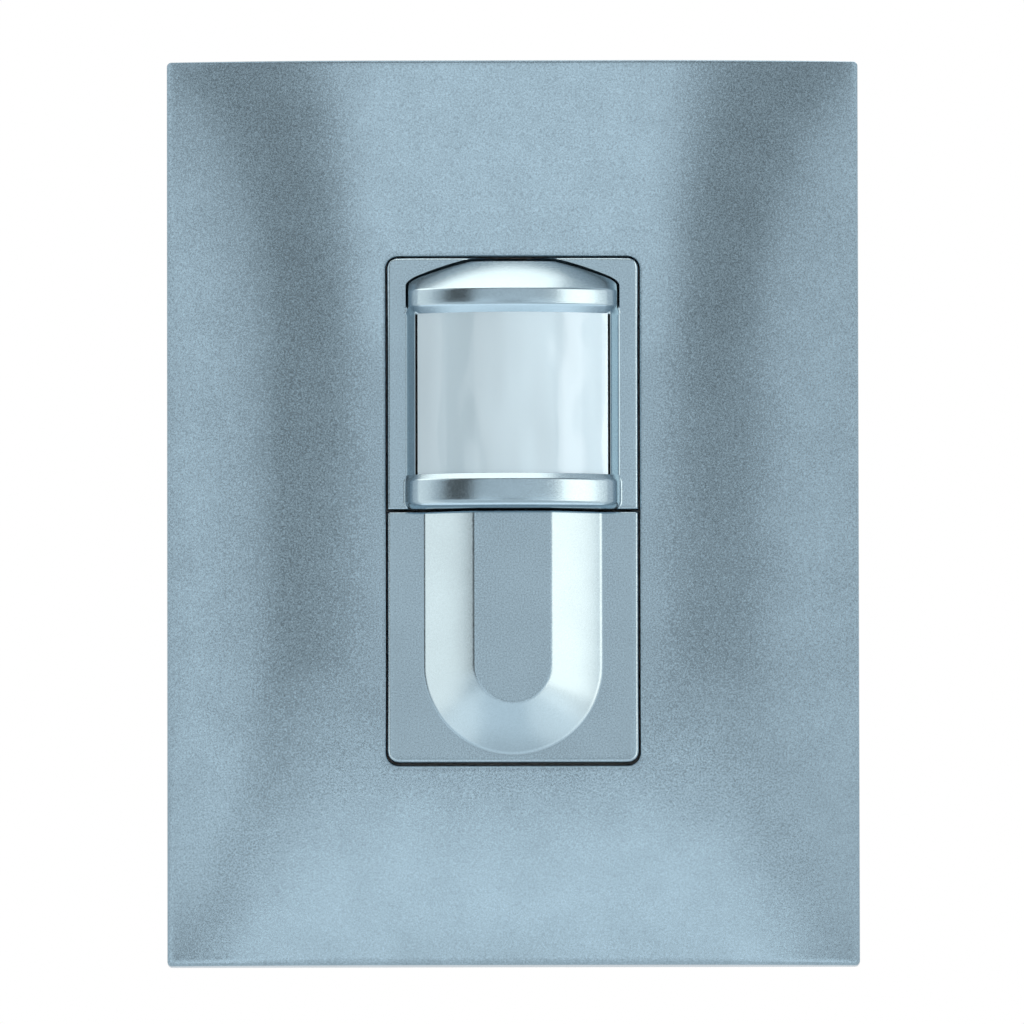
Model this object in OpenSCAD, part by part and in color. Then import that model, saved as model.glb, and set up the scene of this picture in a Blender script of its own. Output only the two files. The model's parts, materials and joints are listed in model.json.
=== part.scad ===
// Motion sensor light switch: a pillow-shaped wall plate round a sensor module in two halves.
// Each piece is drawn face up, with x to the right, y up the wall and z out of the wall.
// on_wall() then stands it up, so that the front faces -Y and +Z is up.
// The origin is on the wall, midway between the two screws that hold the frame.

/* [Wall plate] */
// Width of the wall plate
plate_w = 90; // [86:0.5:104]
// Height of the wall plate
plate_h = 118; // [114:0.5:130]
// Height of the side edges off the wall
plate_edge = 2.6; // [2.3:0.1:4]
// Rise of the crown above the side edges
plate_rise = 6.2; // [5.6:0.1:8]
// Share of the rise that is lost at the top and bottom edges
plate_fall = 0.52; // [0.4:0.01:0.6]
// Width of the level part of the crown
crown_w = 34; // [30:0.5:40]
// Height of the level part of the crown
crown_h = 40; // [34:0.5:50]
// Thickness of the plate
plate_wall = 2; // [1.6:0.1:2.2]
// Soft edge round the front of the plate
plate_soft = 0.5; // [0.3:0.1:0.8]
// Corner radius of the plate
plate_corner = 0.6; // [0.4:0.1:1.5]
// Lean of the top and bottom skirts
plate_lean = 0.3; // [0.1:0.05:0.6]
// Wall of the collar round the window
collar_wall = 1.4; // [1:0.1:2]
// Height of the snap hooks above and below the middle
hook_y = 22; // [18:0.5:26]
// Width of a snap hook
hook_w = 5; // [4:0.5:8]
// Thickness of a snap hook
hook_t = 1.2; // [1:0.1:1.4]
// Reach of the barb of a snap hook
hook_barb = 0.7; // [0.6:0.05:0.9]

/* [Window] */
// Width of the window
window_w = 33; // [31:0.1:35]
// Height of the window
window_h = 66.2; // [62:0.1:70]
// Corner radius of the window
window_r = 1.65; // [1.2:0.05:2.5]
// Gap between the front pieces and the window
front_gap = 0.2; // [0.15:0.05:0.3]
// Gap between the bezel and the push pad
split_gap = 0.3; // [0.25:0.05:0.5]
// Gap below the push pad, which swings down as it is pressed
pad_gap = 0.4; // [0.35:0.05:0.6]
// Drop of the front pieces below the crown
front_drop = 0.2; // [0:0.05:0.5]
// Soft edge round the front pieces
front_soft = 0.4; // [0.3:0.05:0.6]

/* [Sensor head] */
// Width of the head
head_w = 27.8; // [26:0.1:29]
// Radius of the bands, seen from above
head_r = 24; // [22:0.5:28]
// Rise of the head above the bezel
head_rise = 7; // [6:0.1:8]
// Rounding at the ends of the bands
band_round = 1; // [0.6:0.1:1.4]
// Rounding of the dome's shoulders, seen from the front
dome_round = 2.5; // [2:0.1:3.5]
// Height of the lower band's face
lower_band = 3.3; // [2.4:0.1:4]
// Height of the upper band's face
upper_band = 2; // [1.5:0.1:2.6]
// Height of the dome over the upper band
dome_h = 4.9; // [4.5:0.1:6]
// Part of the dome that the top edge of the bezel cuts off
dome_cut = 0.5; // [0.3:0.1:1.2]
// Depth of the lens behind the bands
lens_recess = 1.1; // [0.9:0.1:1.5]
// Thickness of the lens
lens_t = 0.8; // [0.6:0.1:1]
// Hidden edge of the lens above and below
lens_lap = 1.5; // [1:0.1:1.8]
// Gap round the lens
lens_gap = 0.25; // [0.15:0.05:0.3]
// Slope of the cheeks beside the lens
cheek_slope = 1; // [0.8:0.1:1.5]
// Thickness of the bezel
bezel_t = 2.2; // [1.8:0.1:2.6]
// Wall of the bezel's skirt, and of the lens retainer
skirt_wall = 1.2; // [1:0.1:1.4]

/* [Push pad] */
// Thickness of the push pad
pad_t = 1.8; // [1.5:0.1:2.2]
// Height of the raised tongue above the pad
tongue_h = 3.2; // [2.6:0.1:4]
// Half width of the level tongue
tongue_r = 5; // [4:0.1:6]
// Half width of the raised U at its foot
u_r = 11.5; // [10.5:0.1:12.5]
// Bulge of the slopes of the U
u_bulge = 0.14; // [0.05:0.01:0.3]
// Margin of the pad below the U
u_margin = 1.1; // [0.8:0.1:2]
// Angle through which the pad is pressed
press_angle = 3; // [2:0.1:3.4]
// Distance of the hinge pins below the pad's top edge
hinge_in = 2; // [1.8:0.1:3]
// Height of the hinge pins above the deck
hinge_h = 2.2; // [1.9:0.1:2.4]
// Radius of a hinge pin
pin_r = 0.8; // [0.6:0.05:0.9]
// Running clearance of pins, stems and rotors
run_gap = 0.05; // [0.03:0.01:0.08]
// Distance from the hinge to the push switch
press_lever = 7.6; // [7:0.1:9]

/* [Support frame] */
// Distance between the two wall screws
screw_pitch = 83.3; // [81:0.1:86]
// Radius of the wall screws' holes
screw_hole_r = 2.1; // [1.8:0.05:2.4]
// Margin from the frame to the plate's side edges
frame_side = 17; // [15:0.5:18]
// Margin from the frame to the plate's top and bottom edges
frame_end = 5.5; // [5:0.1:7]
// Corner radius of the frame
frame_r = 6; // [5:0.5:8]
// Height of the frame's front off the wall
frame_z = 3.6; // [3.3:0.05:3.7]
// Thickness of the frame's deck
frame_t = 1.8; // [1.6:0.05:2]
// Width of the frame's rim
rim_w = 1.6; // [1.2:0.1:2]
// Radius of the screw bosses
screw_boss_r = 4.5; // [4:0.1:5]

/* [Housing] */
// Wall of the housing
case_wall = 1.4; // [1.2:0.1:1.6]
// Thickness of the flange that sits on the frame
flange_t = 1.2; // [1:0.1:1.4]
// Reach of the flange over the frame
flange_reach = 2.1; // [1.8:0.1:2.4]
// Depth of the deck below the flange
deck_drop = 2.4; // [2.2:0.1:2.8]
// Thickness of the deck
deck_t = 1.2; // [1:0.1:1.4]
// Depth of the front housing behind the flange
front_depth = 13.8; // [12:0.2:16]
// Depth of the rear housing
rear_depth = 27; // [25:0.5:32]
// Radius of the corner columns
column_r = 2.9; // [2.7:0.1:3.1]
// Radius of a housing screw
case_screw_r = 1.2; // [1:0.05:1.3]
// Width of the sunk label field on the back
label_w = 23; // [18:0.5:24]
// Height of the sunk label field on the back
label_h = 25; // [18:0.5:28]
// Length of the groove that shows how much wire to strip
gauge_l = 9; // [7:0.5:10]
// Sliding gap between pieces that slip into each other
slip_gap = 0.3; // [0.2:0.05:0.4]
// Seating gap between pieces that rest on each other
seat_gap = 0.1; // [0.05:0.01:0.15]

/* [Electronics] */
// Thickness of the circuit boards
board_t = 1.6; // [1.2:0.1:2]
// Gap between the deck and the sensor board
board_drop = 2.4; // [2.1:0.1:2.8]
// Radius of the infrared detector's can
pir_r = 4.1; // [3.8:0.1:4.3]
// Height of the infrared detector's can
pir_h = 4.4; // [4:0.1:5]
// Side of the push switch
switch_w = 6; // [5.5:0.1:6.5]
// Height of the push switch's body
switch_h = 3.5; // [3.3:0.1:3.8]
// Side of a trimmer
trimmer_w = 6.6; // [6:0.1:7]
// Height of a trimmer's body
trimmer_h = 3.8; // [3.5:0.1:4.2]
// Distance of the trimmers from the side walls of the housing
trimmer_in = 5.8; // [5.5:0.1:6.8]
// Height of the relay
relay_h = 15; // [12:0.5:16]
// Distance between two wire terminals
term_pitch = 7; // [6.6:0.1:7.4]
// Radius of a wire hole
wire_r = 1.7; // [1.4:0.05:1.9]
// Depth of the terminal block
term_depth = 10.2; // [9.6:0.1:11]

/* [Hidden] */
$fn = 64;
// Points of an outline along its long and short sides and round a corner
long_steps = 10;
short_steps = 8;
corner_steps = 4;
// Small overlap that lets cuts pass through a face and joins hold
eps = 0.01;
// Length of a cut that passes right through the object
through = 200;

// Levels, measured out of the wall
crown_z = plate_edge + plate_rise;
face_z = crown_z - front_drop;
flange_z = frame_z + flange_t;
deck_z = flange_z - deck_drop;
deck_low = deck_z - deck_t;
board_z = deck_low - board_drop;
board_low = board_z - board_t;
tube_end = flange_z - front_depth;
rear_end = tube_end - rear_depth;
power_low = rear_end + term_depth + seat_gap;
power_z = power_low + board_t;

// Outlines of the module
front_w = window_w - 2 * front_gap;
body_over_w = 0.2;
body_over_h = 0.4;
tube_w = window_w + 2 * body_over_w;
tube_h = window_h + 2 * body_over_h;
tube_in_w = tube_w - 2 * case_wall;
tube_in_h = tube_h - 2 * case_wall;
flange_w = tube_w + 2 * flange_reach;
flange_h = tube_h + 2 * flange_reach;
case_r = 1.5;
frame_w = plate_w - 2 * frame_side;
frame_h = plate_h - 2 * frame_end;

// Levels of the head, measured up the wall
bezel_low = split_gap / 2;
bezel_top = window_h / 2 - front_gap;
band_top = bezel_low + lower_band;
lens_low = band_top + lens_recess;
dome_foot = bezel_top + dome_cut - dome_h;
upper_low = dome_foot - upper_band;
lens_top = upper_low - lens_recess;
lens_mid = (lens_low + lens_top) / 2;

// Radii of the head, seen from above, about the axis behind the bezel
head_axis = face_z + head_rise - head_r;
base_r = head_r - head_rise;
lens_r = head_r - lens_recess;
lens_in_r = lens_r - lens_t;
core_r = base_r - bezel_t / 2;
head_half = head_w / 2;
cavity_half = head_half - cheek_slope - lens_gap;
lens_half = cavity_half - lens_gap;
dome_bulge = 0.32;

// Levels of the pad, measured up the wall
pad_top = -split_gap / 2;
pad_low = pad_gap - window_h / 2;
pad_back = face_z - pad_t;
tongue_z = face_z + tongue_h;
u_y = pad_low + u_margin + u_r;
pivot_y = pad_top - hinge_in;
pivot_z = deck_z + hinge_h;
switch_y = pivot_y - press_lever;
trimmer_up = 13.5;
trimmer_x = tube_in_w / 2 - trimmer_in;
spring_up = 7.5;
trimmer_y = pad_low + trimmer_up;
spring_y = pad_low + spring_up;
pad_edge_wall = 1.6;
u_foot_wall = 2.4;
spring_seat_in = 0.6;
// Level below the pad's edge when it is pressed home, and the way that the switch's stem goes
pad_clear = 1.4;
pad_stop = pad_back - (pivot_y - pad_low) * sin(press_angle) - pad_clear;
stem_travel = press_lever * press_angle * PI / 180;

// Hinge of the pad
lug_t = 2;
lug_r = 1.4;
lug_in = tube_in_w / 2 - lug_t;
ear_t = 1.5;
ear_r = 1.6;
ear_out = lug_in - slip_gap;

// Spring under the pad
spring_r = 2.4;
spring_wire = 0.25;
spring_turns = 4;
spring_rings = 8;
spring_sides = 6;
spring_peg_r = 1.6;
spring_peg_h = 1.4;
spring_boss_r = 3.2;
spring_seat = pad_back + spring_seat_in;
spring_low = deck_z + seat_gap + spring_wire;
spring_high = spring_seat - seat_gap - spring_wire;

// Corner columns and boards
column_x = tube_in_w / 2 - column_r + 0.2;
column_y = tube_in_h / 2 - column_r + 0.2;
column_gap = 0.3;
board_w = tube_in_w - 4 * slip_gap;
board_h = tube_in_h - 4 * slip_gap;
notch_x = column_x - column_r - column_gap;
notch_y = column_y - column_r - column_gap;
case_head_r = case_screw_r + 1;
case_head_h = 1.6;
case_head_well = 2;
post_r = 2;
post_in = 3.1;
post_y = tube_in_h / 2 - post_in;
post_pilot_r = 0.85;
board_screw_r = 0.8;
board_screw_head_r = 1.8;
board_screw_head_h = 1.2;

// Parts on the sensor board
lamp_x = 7.5;
lamp_drop = 6.5;
lamp_y = lens_mid - lamp_drop;
lamp_r = 1.5;
cell_r = 2.5;
stem_r = 1.7;
stem_rise = 1.5;
stem_sunk = 1;
rotor_r = 2.4;
rotor_h = 1;
rotor_peg_r = 1;
pir_rim_r = pir_r + 0.5;
pir_rim_h = 0.5;
pir_stand = 0.8;
pir_window_w = 4;
pir_window_h = 3.4;
pir_window_t = 0.5;
pir_z = board_z + pir_stand;
pir_top = pir_z + pir_rim_h + pir_h;
deck_clear = 0.6;

// Parts on the power board
pin_count = 6;
pin_pitch = 2.54;
header_pin_r = 0.32;
strip_h = 2.5;
strip_w = 2.4;
header_y = notch_y - strip_w / 2 - seat_gap;
part_gap = 0.4;
relay_w = 10.2;
relay_l = 18.4;
relay_in = 3.4;
relay_x = board_w / 2 - relay_in - relay_w / 2;
relay_y = header_y - strip_w / 2 - part_gap - relay_l / 2;
relay_round = 0.4;
film_w = 6;
film_l = 18;
film_h = 12;
filter_r = 4;
filter_h = 11.5;
filter_in = 2.5;
filter_x = board_w / 2 - filter_in - filter_r;
filter_y = relay_y - relay_l / 2 - 2 * part_gap - filter_r;
disc_r = 3.7;
disc_t = 3.6;
disc_y = relay_y - relay_l / 2 - 2 * part_gap - disc_t / 2;
fuse_r = 1.7;
fuse_l = 8;
fuse_reach = fuse_l / 2 + 2;
fuse_in = 0.5;
film_x = fuse_in + fuse_reach - board_w / 2;
fuse_y = disc_y - disc_t / 2 - 2 * part_gap - fuse_r;
bridge_w = 8.4;
bridge_l = 6.4;
bridge_y = filter_y - filter_r - 2 * part_gap - bridge_l / 2;
lead_r = 0.3;

// Wire terminals
term_count = 3;
term_wall = 1;
term_w = term_count * term_pitch + term_wall;
term_h = 11;
term_bottom = -notch_y + 0.2;
term_mid = term_bottom + term_h / 2;
term_back = 4;
cage_w = term_pitch - term_wall;
cage_gap = 0.1;
clamp_r = 1.25;
clamp_head_r = 1.9;
clamp_head_h = 1.6;
clamp_l = 2.2;
clamp_slot = 0.7;

// Marks on the outside of the rear housing
label_sink = 0.4;
label_up = 8;
label_y = term_mid + term_h / 2 + label_up + label_h / 2;
gauge_w = 1.2;
gauge_x = term_w / 2 + term_wall + 2 * gauge_w;
grip_count = 6;
grip_w = 1.2;
grip_pitch = 2.6;
grip_sink = 0.5;
grip_in = 4;
grip_l = 14;

// Height of the plate's front off the wall
function across(x) = max(0, abs(x) - crown_w / 2) / (plate_w / 2 - crown_w / 2);
function along(y) = max(0, abs(y) - crown_h / 2) / (plate_h / 2 - crown_h / 2);
function plate_z(x, y) =
    plate_edge + plate_rise * (1 - pow(across(x), 2)) * (1 - plate_fall * pow(along(y), 1.5));

// Points round a rectangle with round corners, anticlockwise from the foot of its right side
function outline(w, h, r) =
    let (
        x = w / 2 - r,
        y = h / 2 - r,
        turn = 90 / corner_steps
    )
    concat(
        [for (i = [0:long_steps]) [w / 2, y * (2 * i / long_steps - 1)]],
        [for (i = [1:corner_steps - 1]) [x + r * cos(turn * i), y + r * sin(turn * i)]],
        [for (i = [0:short_steps]) [x * (1 - 2 * i / short_steps), h / 2]],
        [for (i = [1:corner_steps - 1]) [-x - r * sin(turn * i), y + r * cos(turn * i)]],
        [for (i = [0:long_steps]) [-w / 2, y * (1 - 2 * i / long_steps)]],
        [for (i = [1:corner_steps - 1]) [-x - r * cos(turn * i), -y - r * sin(turn * i)]],
        [for (i = [0:short_steps]) [x * (2 * i / short_steps - 1), -h / 2]],
        [for (i = [1:corner_steps - 1]) [x + r * sin(turn * i), -y - r * cos(turn * i)]]
    );

// One outline part of the way to another
function blend(a, b, t) = [for (k = [0:len(a) - 1]) a[k] * (1 - t) + b[k] * t];

// An outline laid on the plate's front, or lowered from it, and an outline at one level
function on_plate(points, drop) = [for (p = points) [p.x, p.y, plate_z(p.x, p.y) - drop]];
function at_level(points, z) = [for (p = points) [p.x, p.y, z]];

// Points of an arc from one point to another that bulges to the left of the way
function arc_between(a, b, bulge, steps) =
    let (
        way = b - a,
        chord = norm(way),
        left = [-way.y, way.x] / chord
    )
    [
        for (i = [0:steps])
            let (t = i / steps)
            a + way * t + left * bulge * 4 * t * (1 - t)
    ];

// Stands a piece that is drawn face up on the wall
module on_wall() {
    rotate([90, 0, 0]) children();
}

// Turns a piece that is drawn along z so that it runs up the wall
module up_wall() {
    rotate([-90, 0, 0]) children();
}

// Turns a piece that is drawn along z so that it runs to the right
module to_right() {
    rotate([0, 90, 0]) children();
}

module both_sides() {
    children();
    mirror([1, 0, 0]) children();
}

module four_corners(x, y) {
    for (sx = [-1, 1])
        for (sy = [-1, 1])
            translate([sx * x, sy * y, 0]) children();
}

// Rectangle with round corners
module round_rect(w, h, r) {
    square([w - 2 * r, h], center = true);
    square([w, h - 2 * r], center = true);
    four_corners(w / 2 - r, h / 2 - r) circle(r);
}

// Upright block between two levels
module block(w, h, low, high) {
    translate([-w / 2, -h / 2, low]) cube([w, h, high - low]);
}

// Upright post between two levels
module post(r, low, high) {
    translate([0, 0, low]) cylinder(r = r, h = high - low);
}

// Upright wall round an outline that is drawn in 2D
module between(low, high) {
    translate([0, 0, low]) linear_extrude(high - low) children();
}

// Solid whose skin runs through a closed row of rings, each with as many points
module ring_solid(rings) {
    rows = len(rings);
    count = len(rings[0]);
    function at(j, k) = (j % rows) * count + k % count;
    faces = [
        for (j = [0:rows - 1])
            for (k = [0:count - 1])
                each [
                    [at(j, k), at(j, k + 1), at(j + 1, k + 1)],
                    [at(j, k), at(j + 1, k + 1), at(j + 1, k)]
                ]
    ];
    polyhedron([for (ring = rings) each ring], faces);
}

// Snap hook that hangs from the plate and catches behind the frame's deck
module plate_hook() {
    leg = flange_w / 2 + 3 * slip_gap;
    catch_z = frame_z - frame_t - seat_gap;
    tip_z = catch_z - 1.3;
    root_z = plate_z(leg + hook_t, hook_y + hook_w / 2) - plate_wall / 2;
    translate([0, hook_y + hook_w / 2, 0])
        rotate([90, 0, 0])
            linear_extrude(hook_w)
                polygon([
                    [leg, tip_z], [leg, root_z], [leg + hook_t, root_z], [leg + hook_t, catch_z],
                    [leg + hook_t + hook_barb, catch_z], [leg + hook_t, tip_z]
                ]);
}

// The plate's shell: over its front from the window to the edge, round the skirt, and back inside
module plate_shell() {
    front_steps = 10;
    back_steps = 5;
    lean_h = plate_h - 2 * plate_lean;
    window = outline(window_w, window_h, window_r);
    collar = outline(window_w + 2 * collar_wall, window_h + 2 * collar_wall, window_r + collar_wall);
    brow = outline(plate_w - 2 * plate_soft, lean_h - 2 * plate_soft, plate_corner);
    edge = outline(plate_w, lean_h, plate_corner);
    foot = outline(plate_w, plate_h, plate_corner);
    inside = outline(plate_w - 2 * plate_wall, lean_h - 2 * plate_wall, plate_corner);
    collar_z = flange_z + seat_gap;
    ring_solid(concat(
        [for (i = [0:front_steps]) on_plate(blend(window, brow, i / front_steps), 0)],
        [on_plate(edge, plate_soft), at_level(foot, 0), at_level(inside, 0)],
        [for (i = [0:back_steps]) on_plate(blend(inside, collar, i / back_steps), plate_wall)],
        [at_level(collar, collar_z), at_level(window, collar_z)]
    ));
}

module wall_plate() {
    color("silver") on_wall()
        union() {
            plate_shell();
            both_sides() {
                plate_hook();
                mirror([0, 1, 0]) plate_hook();
            }
        }
}

module support_frame() {
    hole_w = tube_w + 2 * slip_gap;
    hole_h = tube_h + 2 * slip_gap;
    slot_x = flange_w / 2 + 2 * slip_gap;
    slot_w = hook_t + 2 * slip_gap;
    sink = 1.3;
    color("whitesmoke") on_wall()
        difference() {
            union() {
                between(frame_z - frame_t, frame_z) round_rect(frame_w, frame_h, frame_r);
                difference() {
                    between(0, frame_z - frame_t / 2) round_rect(frame_w, frame_h, frame_r);
                    between(-1, frame_z - frame_t + eps)
                        round_rect(frame_w - 2 * rim_w, frame_h - 2 * rim_w, frame_r - rim_w);
                }
                for (s = [-1, 1])
                    translate([0, s * screw_pitch / 2, 0]) post(screw_boss_r, 0, frame_z - frame_t / 2);
            }
            between(-1, frame_z + 1) round_rect(hole_w, hole_h, case_r);
            for (s = [-1, 1])
                translate([0, s * screw_pitch / 2, 0]) {
                    post(screw_hole_r, -1, frame_z + 1);
                    translate([0, 0, frame_z - sink])
                        cylinder(r1 = screw_hole_r, r2 = screw_hole_r + sink + eps, h = sink + eps);
                }
            both_sides()
                for (s = [-1, 1])
                    translate([slot_x, s * hook_y - hook_w / 2 - slip_gap, -1])
                        cube([slot_w, hook_w + 2 * slip_gap, frame_z + 2]);
        }
}

// Lug that carries a hinge pin, with its bore left to be cut
module hinge_lug() {
    translate([lug_in, pivot_y, 0])
        to_right() {
            translate([-pivot_z, 0, 0]) cylinder(r = lug_r, h = lug_t + eps);
            translate([-pivot_z, -lug_r, 0]) cube([pivot_z - deck_z + eps, 2 * lug_r, lug_t + eps]);
        }
}

// Barb that holds the housing behind the frame's deck
module case_barb(y) {
    barb_w = 8;
    barb_out = 0.8;
    barb_h = 1.5;
    top_z = frame_z - frame_t - seat_gap;
    translate([0, y + barb_w / 2, 0])
        rotate([90, 0, 0])
            linear_extrude(barb_w)
                polygon([
                    [tube_w / 2 - eps, top_z - barb_h], [tube_w / 2 - eps, top_z],
                    [tube_w / 2 + barb_out, top_z], [tube_w / 2 + barb_out, top_z - barb_h / 3]
                ]);
}

module front_housing() {
    barb_y = 14;
    slot_w = 2.2;
    slot_h = 5.4;
    switch_cut = switch_w + 2 * deck_clear;
    trimmer_cut = trimmer_w + 2 * deck_clear;
    color("gainsboro") on_wall()
        difference() {
            union() {
                difference() {
                    union() {
                        between(frame_z, flange_z) round_rect(flange_w, flange_h, case_r);
                        between(tube_end, flange_z) round_rect(tube_w, tube_h, case_r);
                    }
                    block(tube_in_w, tube_in_h, tube_end - 1, deck_low);
                    block(tube_in_w, tube_in_h, deck_z, flange_z + 1);
                    translate([0, -window_h / 4, 0])
                        block(window_w, window_h / 2, pad_stop, flange_z + 1);
                }
                intersection() {
                    block(tube_w, tube_h, tube_end, deck_low + eps);
                    four_corners(column_x, column_y) post(column_r, tube_end, deck_low + eps);
                }
                for (s = [-1, 1])
                    translate([0, s * post_y, 0]) post(post_r, board_z, deck_low + eps);
                both_sides() {
                    hinge_lug();
                    case_barb(barb_y);
                    case_barb(-barb_y);
                }
                translate([0, spring_y, 0]) post(spring_peg_r, deck_low, deck_z + spring_peg_h);
            }
            both_sides() {
                translate([lug_in - 1, pivot_y, pivot_z])
                    to_right() cylinder(r = pin_r + run_gap, h = lug_t + 1 - slip_gap);
                translate([tube_in_w / 2 - slot_w, lens_mid - slot_h / 2, deck_low - 1])
                    cube([slot_w, slot_h, deck_t + 2]);
                translate([trimmer_x, trimmer_y, 0])
                    block(trimmer_cut, trimmer_cut, deck_low - 1, deck_z + 1);
            }
            four_corners(column_x, column_y) post(case_screw_r + run_gap, tube_end - 1, board_low);
            for (s = [-1, 1])
                translate([0, s * post_y, 0]) post(post_pilot_r, board_z - 1, deck_z - deck_t / 2);
            translate([0, switch_y, 0]) block(switch_cut, switch_cut, deck_low - 1, deck_z + 1);
            translate([0, lens_mid, 0]) post(pir_rim_r + deck_clear, deck_low - 1, deck_z + 1);
            translate([lamp_x, lamp_y, 0]) post(cell_r + deck_clear, deck_low - 1, deck_z + 1);
            translate([-lamp_x, lamp_y, 0]) post(lamp_r + deck_clear, deck_low - 1, deck_z + 1);
        }
}

// Grooves for the fingers in one side of the rear housing
module grip_grooves() {
    for (i = [0:grip_count - 1])
        translate([tube_w / 2, label_y + (i - (grip_count - 1) / 2) * grip_pitch, 0])
            block(2 * grip_sink, grip_w, rear_end + grip_in, rear_end + grip_in + grip_l);
}

module rear_housing() {
    lip_h = 1.5;
    lip_wall = 1;
    lip_w = tube_in_w - seat_gap * 2;
    lip_l = tube_in_h - seat_gap * 2;
    rest_r = 1.6;
    color("gainsboro") on_wall()
        difference() {
            union() {
                difference() {
                    between(rear_end, tube_end) round_rect(tube_w, tube_h, case_r);
                    block(tube_in_w, tube_in_h, rear_end + case_wall, tube_end + 1);
                }
                difference() {
                    block(lip_w, lip_l, tube_end - 2 * lip_h, tube_end + lip_h);
                    block(lip_w - 2 * lip_wall, lip_l - 2 * lip_wall, rear_end, flange_z);
                    four_corners(tube_in_w / 2, tube_in_h / 2)
                        block(4 * column_r, 4 * column_r, tube_end, flange_z);
                }
                intersection() {
                    block(tube_w, tube_h, rear_end, tube_end);
                    four_corners(column_x, column_y) post(column_r, rear_end, tube_end);
                }
                both_sides()
                    translate([tube_in_w / 2 - rest_r, 0, 0]) post(rest_r, rear_end, power_low);
                translate([0, post_y, 0]) post(rest_r, rear_end, power_low);
            }
            four_corners(column_x, column_y) {
                post(case_screw_r + run_gap, rear_end - 1, tube_end + 1);
                post(case_head_r + 2 * seat_gap, rear_end - 1, rear_end + case_head_well);
            }
            translate([0, term_mid, 0])
                block(term_w + 2 * cage_gap, term_h + 2 * cage_gap, rear_end - 1, rear_end + case_wall + 1);
            translate([0, label_y, 0]) block(label_w, label_h, rear_end - 1, rear_end + label_sink);
            translate([gauge_x, term_mid, 0]) block(gauge_w, gauge_l, rear_end - 1, rear_end + label_sink);
            both_sides() grip_grooves();
            for (i = [0:term_count - 1])
                translate([term_x(i), -tube_h / 2 - 1, term_z()])
                    up_wall() cylinder(r = clamp_head_r + slip_gap, h = case_wall + 2);
        }
}

module housing_screws() {
    head_top = rear_end + case_head_well;
    head_low = head_top - case_head_h;
    cross_l = 2.4;
    cross_w = 0.6;
    color("silver") on_wall()
        four_corners(column_x, column_y)
            difference() {
                union() {
                    post(case_screw_r, head_low, board_low - 1);
                    post(case_head_r, head_low, head_top);
                }
                for (a = [0, 90])
                    rotate(a) block(cross_l, cross_w, head_low - 1, head_low + case_head_h / 2);
            }
}

// Front slab with soft edges, square along one side and round at the two far corners
module front_slab(thick, low, high) {
    mid = (low + high) / 2;
    tall = high - low;
    r = window_r - front_gap;
    intersection() {
        translate([0, mid, 0])
            between(face_z - thick, face_z)
                round_rect(front_w, tall, r);
        translate([0, high + 1, 0])
            rotate([90, 0, 0])
                linear_extrude(tall + 2)
                    soft_section(front_w, thick);
        translate([-front_w / 2 - 1, mid, 0])
            rotate([90, 0, 90])
                linear_extrude(front_w + 2)
                    soft_section(tall, thick);
    }
}

// Section of a slab with two soft front edges
module soft_section(w, thick) {
    back = face_z - thick - 1;
    translate([-w / 2, back]) square([w, thick + 1 - front_soft]);
    translate([front_soft - w / 2, back]) square([w - 2 * front_soft, thick + 1]);
    for (s = [-1, 1])
        translate([s * (w / 2 - front_soft), face_z - front_soft]) circle(front_soft);
}

// Fills the two corners of a front slab at the split, which are square
module split_corners(thick, y) {
    r = window_r - front_gap;
    tall = 2 * r;
    intersection() {
        translate([0, y, 0]) block(front_w, tall, face_z - thick, face_z);
        translate([0, y + tall, 0])
            rotate([90, 0, 0]) linear_extrude(2 * tall) soft_section(front_w, thick);
    }
}

// Section of the head seen from above: the bands' arc with round ends
module head_plan() {
    r = head_r - band_round;
    x = head_half - band_round;
    z = sqrt(r * r - x * x);
    reach = 2 * head_r / r;
    intersection() {
        circle(head_r, $fn = 128);
        polygon([[0, 0], [-x, z] * reach, [x, z] * reach]);
    }
    translate([-head_half, 0]) square([head_w, z]);
    for (s = [-1, 1])
        translate([s * x, z]) circle(band_round);
}

// Outline of the head seen from the front: square foot, and shoulders that round into the dome
module head_front() {
    end_r = norm([base_r, head_half]);
    pitch = dome_h / head_rise;
    slope = pitch * head_half / end_r;
    out = [slope, 1] / norm([slope, 1]);
    end_y = dome_foot + (head_r - end_r) * pitch;
    shoulder = [head_half - dome_round, end_y - dome_round * (1 - out.x) / out.y];
    turn = shoulder + out * dome_round;
    peak = turn.y + turn.x * slope;
    foot = bezel_low + band_round;
    translate([-head_half, foot]) square([head_w, shoulder.y - foot]);
    translate([band_round - head_half, bezel_low]) square([head_w - 2 * band_round, lower_band]);
    for (s = [-1, 1]) {
        translate([s * (head_half - band_round), foot]) circle(band_round);
        translate([s * shoulder.x, shoulder.y]) circle(dome_round);
    }
    polygon([
        [-shoulder.x, shoulder.y - eps], [shoulder.x, shoulder.y - eps], turn, [0, peak], [-turn.x, turn.y]
    ]);
}

// Half sections of the two bands and the dome, about the head's axis
module lower_band_section() {
    polygon(concat(
        [[core_r, bezel_low], [head_r - band_round, bezel_low]],
        arc_between([head_r - band_round, bezel_low], [head_r, bezel_low + band_round], -0.2, 6),
        [[head_r, band_top], [lens_r, lens_low], [core_r, lens_low]]
    ));
}

module upper_band_section() {
    polygon(concat(
        [[core_r, lens_top], [lens_r, lens_top], [head_r, upper_low]],
        arc_between([head_r, dome_foot], [base_r, dome_foot + dome_h], -dome_bulge, 8),
        [[core_r, dome_foot + dome_h]]
    ));
}

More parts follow.
